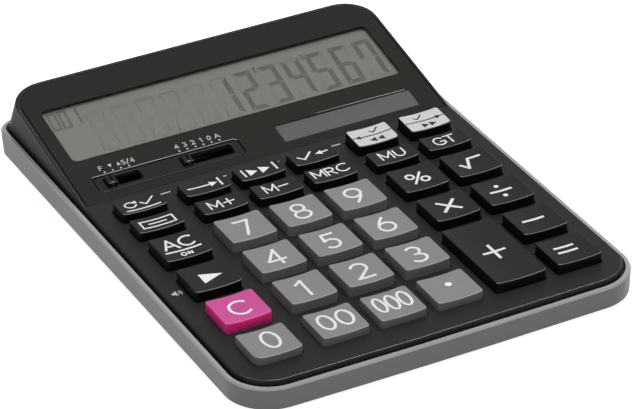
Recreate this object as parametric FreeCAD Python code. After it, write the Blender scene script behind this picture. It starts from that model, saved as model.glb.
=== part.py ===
import FreeCAD, Part
import math
import os
from collections import namedtuple

# A desktop calculator with a sloped twelve digit display, thirty five sprung keys, two slide switches,
# a solar cell and a button cell. All lengths are millimetres and all angles are degrees.
# The pieces are drawn in the keyboard's own frame: X to the right, Y to the rear, Z square to the
# keyboard panel, with Z = 0 on the top of the grey rim and Y = 0 at the rim's front face.
# At the end each piece is tilted onto its feet and moved, so that Z = 0 is the table.

Vector = FreeCAD.Vector
Key = namedtuple("Key", "name x y width depth height slope corner")

# Case outline
case_width = 140.0
case_depth = 191.0
corner_front = 15.5
corner_rear = 7.5
rear_corner_steps = 8
front_bow = 0.55
panel_tilt = 3.7
front_lift = 1.2

# Lower case and its grey rim
rim_height_front = 7.35
rim_height_rear = 8.85
rim_width = 1.65
rim_draft = 0.5
rim_bevel = 0.5
lower_wall = 3.0
floor_thickness = 1.6
seam_depth = 3.0

# Upper case
rim_groove = 0.95
groove_depth = 1.4
groove_clearance = 0.15
lip_height = 1.3
upper_wall = 1.8
panel_rise = 1.45
panel_thickness = 1.8
panel_edge_bevel = 0.4

# Display housing
housing_run = 68.0
display_tilt = 11.95
housing_rear_inset = 5.8
housing_rear_radius = 12.0
display_wall = 2.2

# Key grid: rows are measured from the front of the rim or back from the crease
outer_column_margin = 17.705
group_gap = 2.97
front_row_y = 20.41
memory_row_gap = 5.25
memory_row_back = 23.9
review_row_back = 11.0
white_key_back = 9.9

# Key caps
key_gap_across = 3.93
key_gap_along = 5.63
small_key_depth = 8.8
white_key_narrower = 0.8
white_key_depth = 10.4
plus_key_wider = 1.8
plus_key_shift = 1.27
key_height = 3.6
low_key_height = 2.8
small_key_height = 3.3
white_key_height = 3.9
white_key_slope = 2.8
key_flare = 0.1
key_corner = 1.1
corner_steps = 2
zero_key_corner = 3.2
key_dish = 0.5
key_wall = 1.1
key_roof = 1.2
key_post = 3.2

# Key guides and travel
key_travel = 1.8
key_clearance = 0.3
flange_reach = 0.8
flange_thickness = 0.9
flange_gap = 0.3

# Rubber key mat and main board
mat_thickness = 0.6
dome_clearance = 0.3
dome_base = 8.0
dome_top = 4.4
press_clearance = 0.35
mat_margin = 8.0
board_thickness = 1.0
board_margin = 0.4
board_front_y = 10.7
board_behind_crease = 17.5
rib_thickness = 1.2
rib_end_margin = 6.0

# Display panel, windows and switch recess, measured up the slope from the crease
plate_thickness = 0.8
plate_gap = 0.35
plate_side_margin = 1.5
plate_rear_margin = 1.6
plate_front = 0.3
plate_front_gap = 0.1
plate_rear_radius = 10.5
window_side_margin = 8.8
lcd_window_start = 22.0
lcd_window_height = 28.5
window_ledge = 0.9
window_ledge_thickness = 0.5
window_pocket = 0.7
window_corner = 2.5
solar_window_left = 8.5
solar_window_side_margin = 11.8
solar_window_start = 4.1
solar_window_height = 8.5
switch_recess_side_margin = 10.6
switch_recess_right = -6.4
switch_recess_start = 3.9
switch_recess_height = 8.2
switch_recess_corner = 2.2

# Slide switches
switch_step = 2.94
switch_end_margin = 5.5
mode_switch_steps = 3
decimal_switch_steps = 5
switch_centre = 8.4
knob_width = 3.8
knob_depth = 4.4
knob_rise = 1.2
knob_groove = 1.1
knob_groove_depth = 0.8
slot_clearance = 0.2
knob_flange_reach = 1.6
knob_flange_thickness = 1.0
knob_stem_width = 5.2
knob_stem_depth = 4.4
wiper_height = 0.7
wiper_thickness = 0.25
wiper_finger_width = 1.2
contact_gap = 0.3

# Liquid crystal display, its holder and its ribbon
lcd_cover = 1.0
lcd_glass_thickness = 1.1
lcd_front_start = 18.6
lcd_rear_start = 21.6
lcd_end = 52.4
holder_clearance = 0.2
holder_wall = 1.5
holder_floor = 1.2
holder_ear_width = 8.0
holder_rear_ear_x = 40.0
holder_ear_margin = 6.2
holder_front_ear_start = 16.3
ribbon_margin = 12.2
ribbon_thickness = 0.2
ribbon_overlap = 2.8
ribbon_bend = 1.2

# Solar cell
solar_margin = 0.9
solar_thickness = 1.1

# Small screws that hold the board and the display holder
small_screw_radius = 0.75
small_head_radius = 1.5
small_head_height = 0.5
small_screw_length = 3.4
thread_clearance = 0.05
board_post_radius = 1.5
holder_post_radius = 1.9
post_hole_margin = 0.4
board_post_margin = 2.0

# Case screws
case_screw_radius = 1.0
case_screw_length = 4.2
case_head_radius = 1.9
case_head_height = 1.1
case_post_radius = 1.9
case_boss_radius = 3.1
case_seat_z = -4.4
case_boss_floor = 1.4
case_screw_side_margin = 6.8
case_screw_front_margin = 25.0
case_screw_front_y = 7.6
case_screw_corner_margin = 9.5
case_screw_rear_margin = 11.0

# Feet
rear_foot_side_margin = 25.0
rear_foot_rear_margin = 20.0
rear_foot_width = 26.0
rear_foot_depth = 14.0
rear_foot_draft = 1.2
rear_foot_corner = 3.0
rear_foot_wall = 2.0
rear_pad_width = 18.0
rear_pad_depth = 8.0
pad_proud = 1.0
pad_recess = 0.8
pad_clearance = 0.15
front_pad_side_margin = 22.0
front_pad_y = 17.0
front_pad_radius = 4.5

# Button cell, its well, contacts and cover
cell_from_cover_end = 11.0
cell_rear_margin = 31.0
cell_radius = 5.8
cell_height = 5.4
cell_clearance = 0.4
cell_bottom_gap = 0.3
contact_thickness = 0.25
contact_width = 3.4
cover_x = 0.0
cover_width = 32.0
cover_depth = 20.0
cover_clearance = 0.2
cover_screw_margin = 4.5
cover_head_height = 0.7
well_wall = 2.0
well_roof = 0.9

# Piezo buzzer
buzzer_side_margin = 35.0
buzzer_rear_margin = 39.0
buzzer_radius = 9.0
buzzer_thickness = 0.5
buzzer_ring_height = 0.9
buzzer_ring_width = 1.4

# Sizes worked out from the ones above
big = 300.0
sink = 0.5
smallest_radius = 1.0
disc_sides = 28
half_width = case_width / 2
crease_y = case_depth - housing_run
edge_slope = math.degrees(math.atan2(rim_height_rear - rim_height_front, case_depth))
table_drop = front_lift / math.cos(math.radians(panel_tilt)) + rim_height_front
upper_inset = rim_width + rim_groove
inner_inset = upper_inset + upper_wall
panel_under = panel_rise - panel_thickness
display_sine = math.sin(math.radians(display_tilt))
display_cosine = math.cos(math.radians(display_tilt))
display_tangent = math.tan(math.radians(display_tilt))
housing_top_y = case_depth - housing_rear_inset
housing_top_z = panel_rise + (housing_top_y - crease_y) * display_tangent
housing_slope_length = (housing_top_y - crease_y) / display_cosine
flange_top = panel_under - flange_gap
flange_bottom = flange_top - flange_thickness
dome_top_z = flange_bottom - dome_clearance
mat_top = flange_bottom - key_travel - press_clearance
board_top = mat_top - mat_thickness
board_bottom = board_top - board_thickness
column_pitch = (case_width - 2 * outer_column_margin - 2 * group_gap) / 5
group_pitch = column_pitch + group_gap
column_x = [
    -1.5 * column_pitch - group_pitch,
    -1.5 * column_pitch,
    -0.5 * column_pitch,
    0.5 * column_pitch,
    0.5 * column_pitch + group_pitch,
    1.5 * column_pitch + group_pitch,
]
review_row_y = crease_y - review_row_back
memory_row_y = crease_y - memory_row_back
white_key_y = crease_y - white_key_back
number_rows_end = memory_row_y - small_key_depth / 2 - memory_row_gap
row_pitch = (number_rows_end - front_row_y + key_gap_along / 2) / 3.5
row_y = [front_row_y + row_pitch * row for row in (3, 2, 1, 0)]
group_gap_x = [
    (column_x[0] + column_x[1]) / 2,
    (column_x[3] + column_x[4]) / 2,
]
key_width = column_pitch - key_gap_across
key_depth = row_pitch - key_gap_along
small_key_width = key_width
white_key_width = key_width - white_key_narrower
plus_key_width = key_width + plus_key_wider
plus_key_x = column_x[4] - plus_key_shift
lcd_window_width = case_width - 2 * window_side_margin
lcd_width = lcd_window_width + 2 * lcd_cover
solar_window_width = half_width - solar_window_side_margin - solar_window_left
switch_recess_left = switch_recess_side_margin - half_width
switch_recess_width = switch_recess_right - switch_recess_left
mode_switch_x = switch_recess_left + switch_end_margin
decimal_switch_x = switch_recess_right - switch_end_margin - decimal_switch_steps * switch_step
holder_front_ear_x = lcd_width / 2 - holder_ear_margin
ribbon_width = lcd_width - 2 * ribbon_margin
case_screw_side_x = half_width - case_screw_side_margin
case_screw_front_x = half_width - case_screw_front_margin
case_screw_rear_x = half_width - case_screw_corner_margin
case_screw_rear_y = case_depth - case_screw_rear_margin
rear_foot_x = half_width - rear_foot_side_margin
rear_foot_y = case_depth - rear_foot_rear_margin
front_pad_x = half_width - front_pad_side_margin
cell_x = cover_x - cover_width / 2 + cell_from_cover_end
cell_y = case_depth - cell_rear_margin
cover_screw_x = cover_x + cover_width / 2 - cover_screw_margin
buzzer_x = half_width - buzzer_side_margin
buzzer_y = case_depth - buzzer_rear_margin
board_half_width = case_screw_side_x - case_boss_radius - board_margin
board_rear_y = crease_y + board_behind_crease
board_post_rear_y = crease_y - board_post_margin
board_rib_rows = (board_front_y + rib_end_margin, row_y[2], row_y[0], board_rear_y - rib_end_margin)


def box(x0, x1, y0, y1, z0, z1):
    """A block between two corners."""
    return Part.makeBox(x1 - x0, y1 - y0, z1 - z0, Vector(x0, y0, z0))


def disc(x, y, z0, z1, radius):
    """An upright round disc between two heights, in short flat steps."""
    return peg(x, y, z0, z1, radius, disc_sides)


def peg(x, y, z0, z1, radius, sides=10):
    """An upright many-sided peg, used for small posts, screws and their holes."""
    return flat_sided([(z0, ring(x, y, radius, sides)), (z1, ring(x, y, radius, sides))])


def ring(x, y, radius, sides):
    """Corner points of a many-sided ring."""
    return corner_points(x, y, radius, math.pi / sides, 2 * math.pi * (1 - 0.5 / sides), sides - 1)


def corner_points(x, y, radius, start, end, steps):
    """Points along an arc, both ends included."""
    points = []
    for number in range(steps + 1):
        angle = start + (end - start) * number / steps
        points.append((x + radius * math.cos(angle), y + radius * math.sin(angle)))
    return points


def flat_sided(levels):
    """A solid with flat sides between outlines that have the same number of points."""
    loops = [[Vector(x, y, z) for x, y in points] for z, points in levels]
    faces = [
        Part.Face(Part.makePolygon(loops[0] + loops[0][:1])),
        Part.Face(Part.makePolygon(loops[-1] + loops[-1][:1])),
    ]
    for lower, upper in zip(loops, loops[1:]):
        for number in range(len(lower)):
            following = (number + 1) % len(lower)
            corners = [lower[number], lower[following], upper[following], upper[number], lower[number]]
            faces.append(Part.Face(Part.makePolygon(corners)))
    solid = Part.Solid(Part.makeShell(faces))
    if solid.Volume < 0:
        solid.reverse()
    return solid


def arc(start, middle, end):
    return Part.Arc(start, middle, end).toShape()


def line(start, end):
    return Part.LineSegment(start, end).toShape()


def outline(inset, z, rear_y=None, rear_radius=None):
    """The case's rounded outline at height z, drawn in by inset, with its slightly bowed front."""
    half = case_width / 2 - inset
    back = case_depth - inset if rear_y is None else rear_y
    rear = max(corner_rear - inset, smallest_radius) if rear_radius is None else rear_radius
    centre_x = case_width / 2 - corner_front
    bow_radius = (centre_x ** 2 + front_bow ** 2) / (2 * front_bow)
    reach = bow_radius - corner_front
    centre_y = bow_radius - math.sqrt(reach ** 2 - centre_x ** 2)
    front = max(corner_front - inset, smallest_radius)
    turn = math.atan2(centre_y - bow_radius, centre_x)
    joint = Vector(centre_x + front * math.cos(turn), centre_y + front * math.sin(turn), z)
    bend = Vector(centre_x + front * math.cos(turn / 2), centre_y + front * math.sin(turn / 2), z)
    shoulder = Vector(half, centre_y, z)
    right = [Vector(x, y, z) for x, y in corner_points(half - rear, back - rear, rear, 0.0, math.pi / 2,
                                                       rear_corner_steps)]

    def mirror(point):
        return Vector(-point.x, point.y, point.z)

    left = [mirror(point) for point in reversed(right)]
    sides = [shoulder] + right + left + [mirror(shoulder)]
    return Part.Wire([
        arc(mirror(joint), Vector(0, inset, z), joint),
        arc(joint, bend, shoulder),
        *[line(start, end) for start, end in zip(sides, sides[1:])],
        arc(mirror(shoulder), mirror(bend), mirror(joint)),
    ])


def case_prism(inset, z0, z1):
    """The case's outline as an upright prism."""
    return Part.Face(outline(inset, z0)).extrude(Vector(0, 0, z1 - z0))


def rounded_wire(x0, x1, y0, y1, z, radii):
    """A rectangle with its own radius at each corner: front left, front right, rear right, rear left."""
    corners = [
        (x0, y0, 1, 1, radii[0]),
        (x1, y0, -1, 1, radii[1]),
        (x1, y1, -1, -1, radii[2]),
        (x0, y1, 1, -1, radii[3]),
    ]
    bends = []
    for number, (x, y, to_x, to_y, radius) in enumerate(corners):
        on_x = Vector(x + to_x * radius, y, z)
        on_y = Vector(x, y + to_y * radius, z)
        inward = radius * (1 - math.sqrt(0.5))
        middle = Vector(x + to_x * inward, y + to_y * inward, z)
        bends.append((on_y, middle, on_x) if number % 2 == 0 else (on_x, middle, on_y))
    edges = []
    for number, bend in enumerate(bends):
        edges.append(arc(*bend))
        edges.append(line(bend[2], bends[(number + 1) % 4][0]))
    return Part.Wire(edges)


def rounded_block(x0, x1, y0, y1, z0, z1, radius):
    """A block with four upright rounded corners."""
    wire = rounded_wire(x0, x1, y0, y1, z0, [radius] * 4)
    return Part.Face(wire).extrude(Vector(0, 0, z1 - z0))


def fuse_all(shapes):
    """One solid from several that meet."""
    whole = shapes[0]
    for shape in shapes[1:]:
        whole = whole.fuse(shape)
    return whole.removeSplitter()


def under_edge_plane(height):
    """Everything lower than a plane that lies height above the rim's lower edge."""
    block = box(-big, big, -big, big, -big, 0)
    block.rotate(Vector(0, 0, 0), Vector(1, 0, 0), -edge_slope)
    block.translate(Vector(0, 0, height - rim_height_front))
    return block


def edge_plane_z(y, height=0.0):
    """Height of that plane at a given y."""
    return height - rim_height_front - y * math.tan(math.radians(edge_slope))


def stand(shape):
    """A shape's part above the lower case's floor."""
    return shape.cut(under_edge_plane(floor_thickness))


def on_display(shape):
    """Move a shape from the display's own frame, with Y up the slope from the crease, to the case."""
    shape.rotate(Vector(0, 0, 0), Vector(1, 0, 0), display_tilt)
    shape.translate(Vector(0, crease_y, panel_rise))
    return shape


def display_point(x, along, height):
    """A point of the display's own frame in the keyboard's frame."""
    y = crease_y + along * display_cosine - height * display_sine
    z = panel_rise + along * display_sine + height * display_cosine
    return Vector(x, y, z)


def to_world(shape):
    """Tilt a shape of the keyboard's frame onto the feet, with the table at Z = 0."""
    shape.rotate(Vector(0, 0, 0), Vector(1, 0, 0), panel_tilt)
    shape.translate(world_shift)
    return shape


def world_point(x, y, z):
    """A point of the keyboard's frame in the table's frame."""
    sine = math.sin(math.radians(panel_tilt))
    cosine = math.cos(math.radians(panel_tilt))
    return Vector(x, y * cosine - z * sine, y * sine + z * cosine) + world_shift


def find_world_shift():
    """The move that centres the case in X and Y and sets the table at Z = 0."""
    tray = tray_outside()
    tray.rotate(Vector(0, 0, 0), Vector(1, 0, 0), panel_tilt)
    bounds = tray.optimalBoundingBox(False, False)
    return Vector(0, -(bounds.YMin + bounds.YMax) / 2, table_drop * math.cos(math.radians(panel_tilt)))


def under_panel(depth):
    """Everything lower than a plane that lies depth under the keyboard panel's top."""
    return box(-big, big, -big, big, -big, panel_rise - depth)


def under_display(depth):
    """Everything lower than a plane that lies depth under the display slope."""
    return on_display(box(-big, big, -big, big, -big, -depth))


def leaning_form(inset):
    """Straight sides and a rear wall that leans in, from the rim up past the top of the display."""
    extra = inset - upper_inset
    reach = 1.15
    foot_rear = case_depth - inset
    foot_radius = max(corner_rear - inset, smallest_radius)
    top_rear = foot_rear + (housing_top_y - extra - foot_rear) * reach
    top_radius = foot_radius + (housing_rear_radius - extra - foot_radius) * reach
    lower = outline(inset, 0.0)
    upper = outline(inset, housing_top_z * reach, top_rear, top_radius)
    faces = [Part.Face(lower), Part.Face(upper)]
    for below, above in zip(lower.Edges, upper.Edges):
        if below.Curve.TypeId != "Part::GeomLine":
            faces.append(below.extrude(Vector(0, 0, housing_top_z * reach)))
        else:
            start, end = [vertex.Point for vertex in below.Vertexes]
            first, last = [vertex.Point for vertex in above.Vertexes]
            faces.append(Part.Face(Part.makePolygon([start, end, last, first, start])))
    shell = Part.makeShell(faces)
    shell.sewShape()
    solid = Part.Solid(shell)
    if solid.Volume < 0:
        solid.reverse()
    return solid


def upper_cavity():
    """The space inside the upper case, with the case's own wall left all round."""
    bottom = -seam_depth - lip_height - sink
    body = leaning_form(inner_inset).fuse(case_prism(inner_inset, bottom, 0.0))
    ceiling = under_panel(panel_thickness).fuse(under_display(display_wall))
    return body.common(ceiling)


def edge_middle(edge):
    return edge.valueAt((edge.FirstParameter + edge.LastParameter) / 2)


def slope_height(point):
    """How far a point lies over the display slope's plane, measured upright."""
    return point.z - panel_rise - (point.y - crease_y) * display_tangent


def bevel_edges(body, height, cut_y):
    """Bevel a form's outer top edges, where height is zero, but not the edge at the cut."""
    edges = []
    for edge in body.Edges:
        middle = edge_middle(edge)
        if abs(height(middle)) < 0.01 and abs(middle.y - cut_y) > 0.01:
            edges.append(edge)
    return body.makeChamfer(panel_edge_bevel, edges)


def upper_outside():
    """The upper case as a filled form: the keyboard half and the display half, both bevelled."""
    front_end = crease_y + sink
    rear_start = crease_y - sink
    front = case_prism(upper_inset, -seam_depth, panel_rise)
    front = front.common(box(-big, big, -big, front_end, -big, big))
    front = bevel_edges(front, lambda point: point.z - panel_rise, front_end)
    rear = leaning_form(upper_inset).common(under_display(0.0))
    rear = rear.common(box(-big, big, rear_start, big, -big, big))
    rear = bevel_edges(rear, slope_height, rear_start)
    return fuse_all([front, rear, case_prism(upper_inset, -seam_depth, 0.0)])


def key_list():
    """Every key cap's place, top size, height over the panel, slope and front left corner radius."""
    small = (small_key_width, small_key_depth, small_key_height, 0.0, key_corner)
    white = (white_key_width, white_key_depth, white_key_height, white_key_slope, key_corner)
    full = (key_width, key_depth, key_height, 0.0, key_corner)
    low = (key_width, key_depth, low_key_height, 0.0, key_corner)
    low_corner = (key_width, key_depth, low_key_height, 0.0, zero_key_corner)
    long = (plus_key_width, key_depth + row_pitch, key_height, 0.0, key_corner)
    rows = [
        (review_row_y, small, ["recheck", "go_to", "auto_review", "correct"]),
        (memory_row_y, small, ["display_swap", "memory_plus", "memory_minus", "memory_recall",
                               "mark_up", "grand_total"]),
        (row_y[0], full, ["all_clear", "seven", "eight", "nine", "percent", "square_root"]),
        (row_y[1], full, ["shift_right", "four", "five", "six", "multiply", "divide"]),
        (row_y[2], full, ["clear", "one", "two", "three"]),
    ]
    keys = []
    for y, form, names in rows:
        for name, x in zip(names, column_x):
            keys.append(Key(name, x, y, *form))
    keys.append(Key("minus", column_x[5], row_y[2], *full))
    keys.append(Key("check_back", column_x[4], white_key_y, *white))
    keys.append(Key("check_forward", column_x[5], white_key_y, *white))
    keys.append(Key("zero", column_x[0], row_y[3], *low_corner))
    keys.append(Key("double_zero", column_x[1], row_y[3], *low))
    keys.append(Key("triple_zero", column_x[2], row_y[3], *low))
    keys.append(Key("point", column_x[3], row_y[3], *low))
    keys.append(Key("plus", plus_key_x, (row_y[2] + row_y[3]) / 2, *long))
    keys.append(Key("equals", column_x[5], row_y[3], *full))
    return keys


def key_outline(key, grow):
    """A key's outline with rounded corners in short flat steps, grown by grow from its top's size."""
    half_w = key.width / 2 + grow
    half_d = key.depth / 2 + grow
    quarter = math.pi / 2
    corners = [
        (-half_w + key.corner, -half_d + key.corner, key.corner, -2 * quarter),
        (half_w - key_corner, -half_d + key_corner, key_corner, -quarter),
        (half_w - key_corner, half_d - key_corner, key_corner, 0.0),
        (-half_w + key_corner, half_d - key_corner, key_corner, quarter),
    ]
    points = []
    for x, y, radius, start in corners:
        points += corner_points(key.x + x, key.y + y, radius, start, start + quarter, corner_steps)
    return points


def key_block(key, grow, z0, z1):
    """A square block about a key's middle, grown by grow from its top's size."""
    half_w = key.width / 2 + grow
    half_d = key.depth / 2 + grow
    return box(key.x - half_w, key.x + half_w, key.y - half_d, key.y + half_d, z0, z1)


def key_cap(key):
    """A hollow key cap with flared sides, a dished top, a retaining flange and a post."""
    top_z = panel_rise + key.height
    ceiling = top_z - key_dish - key_roof
    tall_z = top_z + key.depth / 2 * math.tan(math.radians(key.slope)) + sink
    taper = key_flare / (top_z - flange_top)
    cap = flat_sided([
        (flange_top, key_outline(key, key_flare)),
        (tall_z, key_outline(key, -taper * (tall_z - top_z))),
    ])
    dish_radius = (key.width ** 2 / 4 + key_dish ** 2) / (2 * key_dish)
    dish_start = Vector(key.x, key.y - big / 2, top_z - key_dish + dish_radius)
    dish = Part.makeCylinder(dish_radius, big, dish_start, Vector(0, 1, 0))
    dish.rotate(Vector(key.x, key.y, top_z), Vector(1, 0, 0), key.slope)
    reach = key_flare + key_clearance + flange_reach
    flange = key_block(key, reach, flange_bottom, flange_top)
    hollow = key_block(key, key_flare - key_wall, flange_bottom - sink, ceiling)
    half_post = key_post / 2
    post = box(key.x - half_post, key.x + half_post, key.y - half_post, key.y + half_post,
               flange_bottom, ceiling + sink)
    return fuse_all([cap.cut(dish).fuse(flange).cut(hollow), post])


def key_hole(key):
    """The opening in the keyboard panel that guides a key."""
    points = key_outline(key, key_flare + key_clearance)
    return flat_sided([(panel_under - sink, points), (panel_rise + sink, points)])


def plate_shape(grow, z0, z1, front):
    """The display panel's outline in the display's frame, grown at its sides and rear."""
    half = case_width / 2 - upper_inset - plate_side_margin + grow
    rear = housing_slope_length - plate_rear_margin + grow
    radius = plate_rear_radius + grow
    wire = rounded_wire(-half, half, front, rear, z0, [sink, sink, radius, radius])
    return Part.Face(wire).extrude(Vector(0, 0, z1 - z0))


def lcd_opening(grow, z0, z1):
    """The visible display field's outline in the display's frame, grown by grow."""
    half = lcd_window_width / 2 + grow
    return rounded_block(-half, half, lcd_window_start - grow,
                         lcd_window_start + lcd_window_height + grow, z0, z1, window_corner)


def lcd_pocket(z0, z1):
    """The wider room under the display window's ledge, closed by the display cell behind it."""
    half = lcd_window_width / 2 + window_pocket
    return box(-half, half, lcd_window_start - window_pocket, lcd_end - window_pocket, z0, z1)


def solar_opening(grow, z0, z1):
    """The solar field's outline in the display's frame, grown by grow."""
    return box(solar_window_left - grow, solar_window_left + solar_window_width + grow,
               solar_window_start - grow, solar_window_start + solar_window_height + grow, z0, z1)


def switch_recess(z0, z1):
    """The long recess round both slide switches, in the display's frame."""
    return rounded_block(switch_recess_left, switch_recess_left + switch_recess_width,
                         switch_recess_start, switch_recess_start + switch_recess_height,
                         z0, z1, switch_recess_corner)


def switch_slot(x, steps):
    """The slot that a slide switch's knob runs in, in the display's frame."""
    half_w = knob_width / 2 + slot_clearance
    half_d = knob_depth / 2 + slot_clearance
    return box(x - half_w, x + steps * switch_step + half_w, switch_centre - half_d,
               switch_centre + half_d, -display_wall - sink, 0)


def case_screw_places():
    """Centres of the six case screws."""
    side_y = (row_y[0] + row_y[1]) / 2
    places = []
    for side in (-1, 1):
        places.append((side * case_screw_front_x, case_screw_front_y))
        places.append((side * case_screw_side_x, side_y))
        places.append((side * case_screw_rear_x, case_screw_rear_y))
    return places


def board_screw_places():
    """Centres of the screws that hold the main board, in the gaps between the key groups."""
    rows = [(row_y[1] + row_y[2]) / 2, (row_y[0] + memory_row_y) / 2 + small_key_depth / 8,
            board_post_rear_y]
    return [(x, y) for x in group_gap_x for y in rows]


def holder_screw_places():
    """Centres of the display holder's screws, in the display's frame."""
    rear_along = lcd_end + holder_clearance + holder_wall + holder_post_radius + holder_clearance
    places = []
    for side in (-1, 1):
        places.append((side * holder_rear_ear_x, rear_along))
        places.append((side * holder_front_ear_x, holder_front_ear_start))
    return places


def screw(x, y, seat, radius, length, head_radius, head_height):
    """A screw put in from below, its head under the seat."""
    shank = peg(x, y, seat, seat + length, radius)
    head = peg(x, y, seat - head_height, seat, head_radius)
    return fuse_all([shank, head])


def tray_outside():
    """The grey tray as a filled form: drafted sides under a bevelled rim, cut off by the edge plane."""
    low = -rim_height_rear - 2 * floor_thickness
    body = Part.makeLoft([outline(rim_draft, low), outline(0.0, 0.0)], True, True)
    top_edges = [edge for edge in body.Edges if abs(edge_middle(edge).z) < 0.01]
    return body.makeChamfer(rim_bevel, top_edges).cut(under_edge_plane(0.0))


def make_lower_case():
    """The grey tray: drafted rim, ledge for the upper case, ribs, bosses, well and rear feet."""
    low = -rim_height_rear - 2 * floor_thickness
    mouth = case_prism(rim_width, -seam_depth, sink)
    cavity = stand(case_prism(lower_wall, low, -seam_depth + sink))
    body = tray_outside().cut([mouth, cavity])

    ribs = []
    for y in board_rib_rows:
        rib = box(-board_half_width, board_half_width, y - rib_thickness / 2, y + rib_thickness / 2,
                  low, board_bottom)
        ribs.append(rib.cut(under_edge_plane(floor_thickness - sink)))
    bosses = []
    for x, y in case_screw_places():
        bosses.append(peg(x, y, low, case_seat_z, case_boss_radius))
    well = box(cover_x - cover_width / 2 - well_wall, cover_x + cover_width / 2 + well_wall,
               cell_y - cover_depth / 2 - well_wall, cell_y + cover_depth / 2 + well_wall,
               low, cell_top() + contact_thickness + well_roof)
    ring_top = buzzer_seat()
    ring = disc(buzzer_x, buzzer_y, low, ring_top, buzzer_radius)
    ring = ring.cut(disc(buzzer_x, buzzer_y, low - sink, ring_top + sink,
                         buzzer_radius - buzzer_ring_width))
    raised = [shape.cut(under_edge_plane(floor_thickness - sink)) for shape in bosses + [well, ring]]
    feet = [rear_foot(side) for side in (-1, 1)]
    body = fuse_all([body] + ribs + raised + feet)

    holes = []
    for x, y in case_screw_places():
        seat = case_seat_z - case_boss_floor
        holes.append(peg(x, y, low, case_seat_z + sink, case_screw_radius + 2 * groove_clearance))
        holes.append(peg(x, y, low, seat, case_head_radius + pad_clearance))
    holes.append(cover_block(cover_clearance).common(under_edge_plane(floor_thickness)))
    holes.append(disc(cell_x, cell_y, low, cell_top() + contact_thickness, cell_radius + cell_clearance))
    holes.append(side_contact_notch())
    holes.append(peg(cover_screw_x, cell_y, low, cell_top(), small_screw_radius + thread_clearance))
    holes += [rear_foot_hollow(side) for side in (-1, 1)]
    body = to_world(body.cut(holes))
    return body.cut([pad.copy() for pad in rubber_pads(pad_clearance)])


def rear_foot(side):
    """A tapered foot under the rear of the lower case, before its pad's recess."""
    x = side * rear_foot_x
    half_w = rear_foot_width / 2
    half_d = rear_foot_depth / 2
    wires = []
    for z, draw in ((edge_plane_z(rear_foot_y, floor_thickness / 2), 0.0), (-big / 10, rear_foot_draft)):
        wires.append(rounded_wire(x - half_w + draw, x + half_w - draw, rear_foot_y - half_d + draw,
                                  rear_foot_y + half_d - draw, z, [rear_foot_corner] * 4))
    foot = Part.makeLoft(wires, True, True)
    return foot.cut(under_table(pad_proud))


def rear_foot_hollow(side):
    """The space inside a rear foot, open to the inside of the case."""
    x = side * rear_foot_x
    half_w = rear_foot_width / 2 - rear_foot_wall - rear_foot_draft
    half_d = rear_foot_depth / 2 - rear_foot_wall - rear_foot_draft
    hollow = box(x - half_w, x + half_w, rear_foot_y - half_d, rear_foot_y + half_d, -big / 10,
                 edge_plane_z(rear_foot_y, floor_thickness + sink))
    return hollow.cut(under_table(pad_proud + pad_recess + rear_foot_wall))


def under_table(height):
    """Everything lower than a level plane that lies height above the table."""
    block = box(-big, big, -big, big, -big, 0)
    block.rotate(Vector(0, 0, 0), Vector(1, 0, 0), -panel_tilt)
    lift = height / math.cos(math.radians(panel_tilt)) - table_drop
    block.translate(Vector(0, 0, lift))
    return block


def rubber_pads(clearance=0.0):
    """Two round pads at the front and two oblong pads under the rear feet, on the table."""
    pads = []
    for side in (-1, 1):
        under = edge_plane_z(front_pad_y)
        spot = world_point(side * front_pad_x, front_pad_y, under)
        pads.append(disc(spot.x, spot.y, 0, spot.z + pad_recess, front_pad_radius + clearance))
        spot = world_point(side * rear_foot_x, rear_foot_y, -big / 20)
        half_w = rear_pad_width / 2 + clearance
        half_d = rear_pad_depth / 2 + clearance
        centre_y = pad_centre_y()
        pads.append(rounded_block(spot.x - half_w, spot.x + half_w, centre_y - half_d,
                                  centre_y + half_d, 0, pad_proud + pad_recess, smallest_radius))
    return pads


def pad_centre_y():
    """Where a rear foot's middle meets the table, in the table's frame."""
    sine = math.sin(math.radians(panel_tilt))
    cosine = math.cos(math.radians(panel_tilt))
    sole_z = -table_drop - rear_foot_y * sine / cosine
    return rear_foot_y * cosine - sole_z * sine + world_shift.y


def cell_bottom():
    return edge_plane_z(cell_y, floor_thickness) + cell_bottom_gap


def cell_top():
    return cell_bottom() + cell_height


def cover_block(grow):
    """The battery cover's outline, taller than the floor."""
    return box(cover_x - cover_width / 2 - grow, cover_x + cover_width / 2 + grow,
               cell_y - cover_depth / 2 - grow, cell_y + cover_depth / 2 + grow,
               edge_plane_z(case_depth, -sink), edge_plane_z(0, floor_thickness + sink))


def side_contact_notch():
    """The pocket beside the button cell that holds its side contact."""
    edge = cell_y + cell_radius
    return box(cell_x - contact_width / 2 - cell_clearance, cell_x + contact_width / 2 + cell_clearance,
               cell_y, edge + cell_clearance + contact_thickness, edge_plane_z(cell_y, 0), cell_top())


def make_battery_cover():
    """A flat cover, flush in the case's underside, with a countersunk place for its screw."""
    cover = cover_block(0.0).common(under_edge_plane(floor_thickness)).cut(under_edge_plane(0.0))
    low = edge_plane_z(cell_y, -sink)
    head_seat = edge_plane_z(cell_y, cover_head_height)
    hole = peg(cover_screw_x, cell_y, low, edge_plane_z(cell_y, 2 * floor_thickness),
               small_screw_radius + thread_clearance)
    recess = peg(cover_screw_x, cell_y, low, head_seat, small_head_radius + pad_clearance)
    return cover.cut([hole, recess])


def make_battery_contacts():
    """A top leaf over the button cell and a side leaf against its rim, as two solids."""
    top = cell_top()
    leaf = box(cell_x - cell_radius * 0.7, cell_x + cell_radius * 0.7, cell_y - contact_width / 2,
               cell_y + contact_width / 2, top, top + contact_thickness)
    edge = cell_y + cell_radius + cell_clearance
    side = box(cell_x - contact_width / 2, cell_x + contact_width / 2, edge,
               edge + contact_thickness, cell_bottom(), top)
    return [leaf, side]


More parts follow.
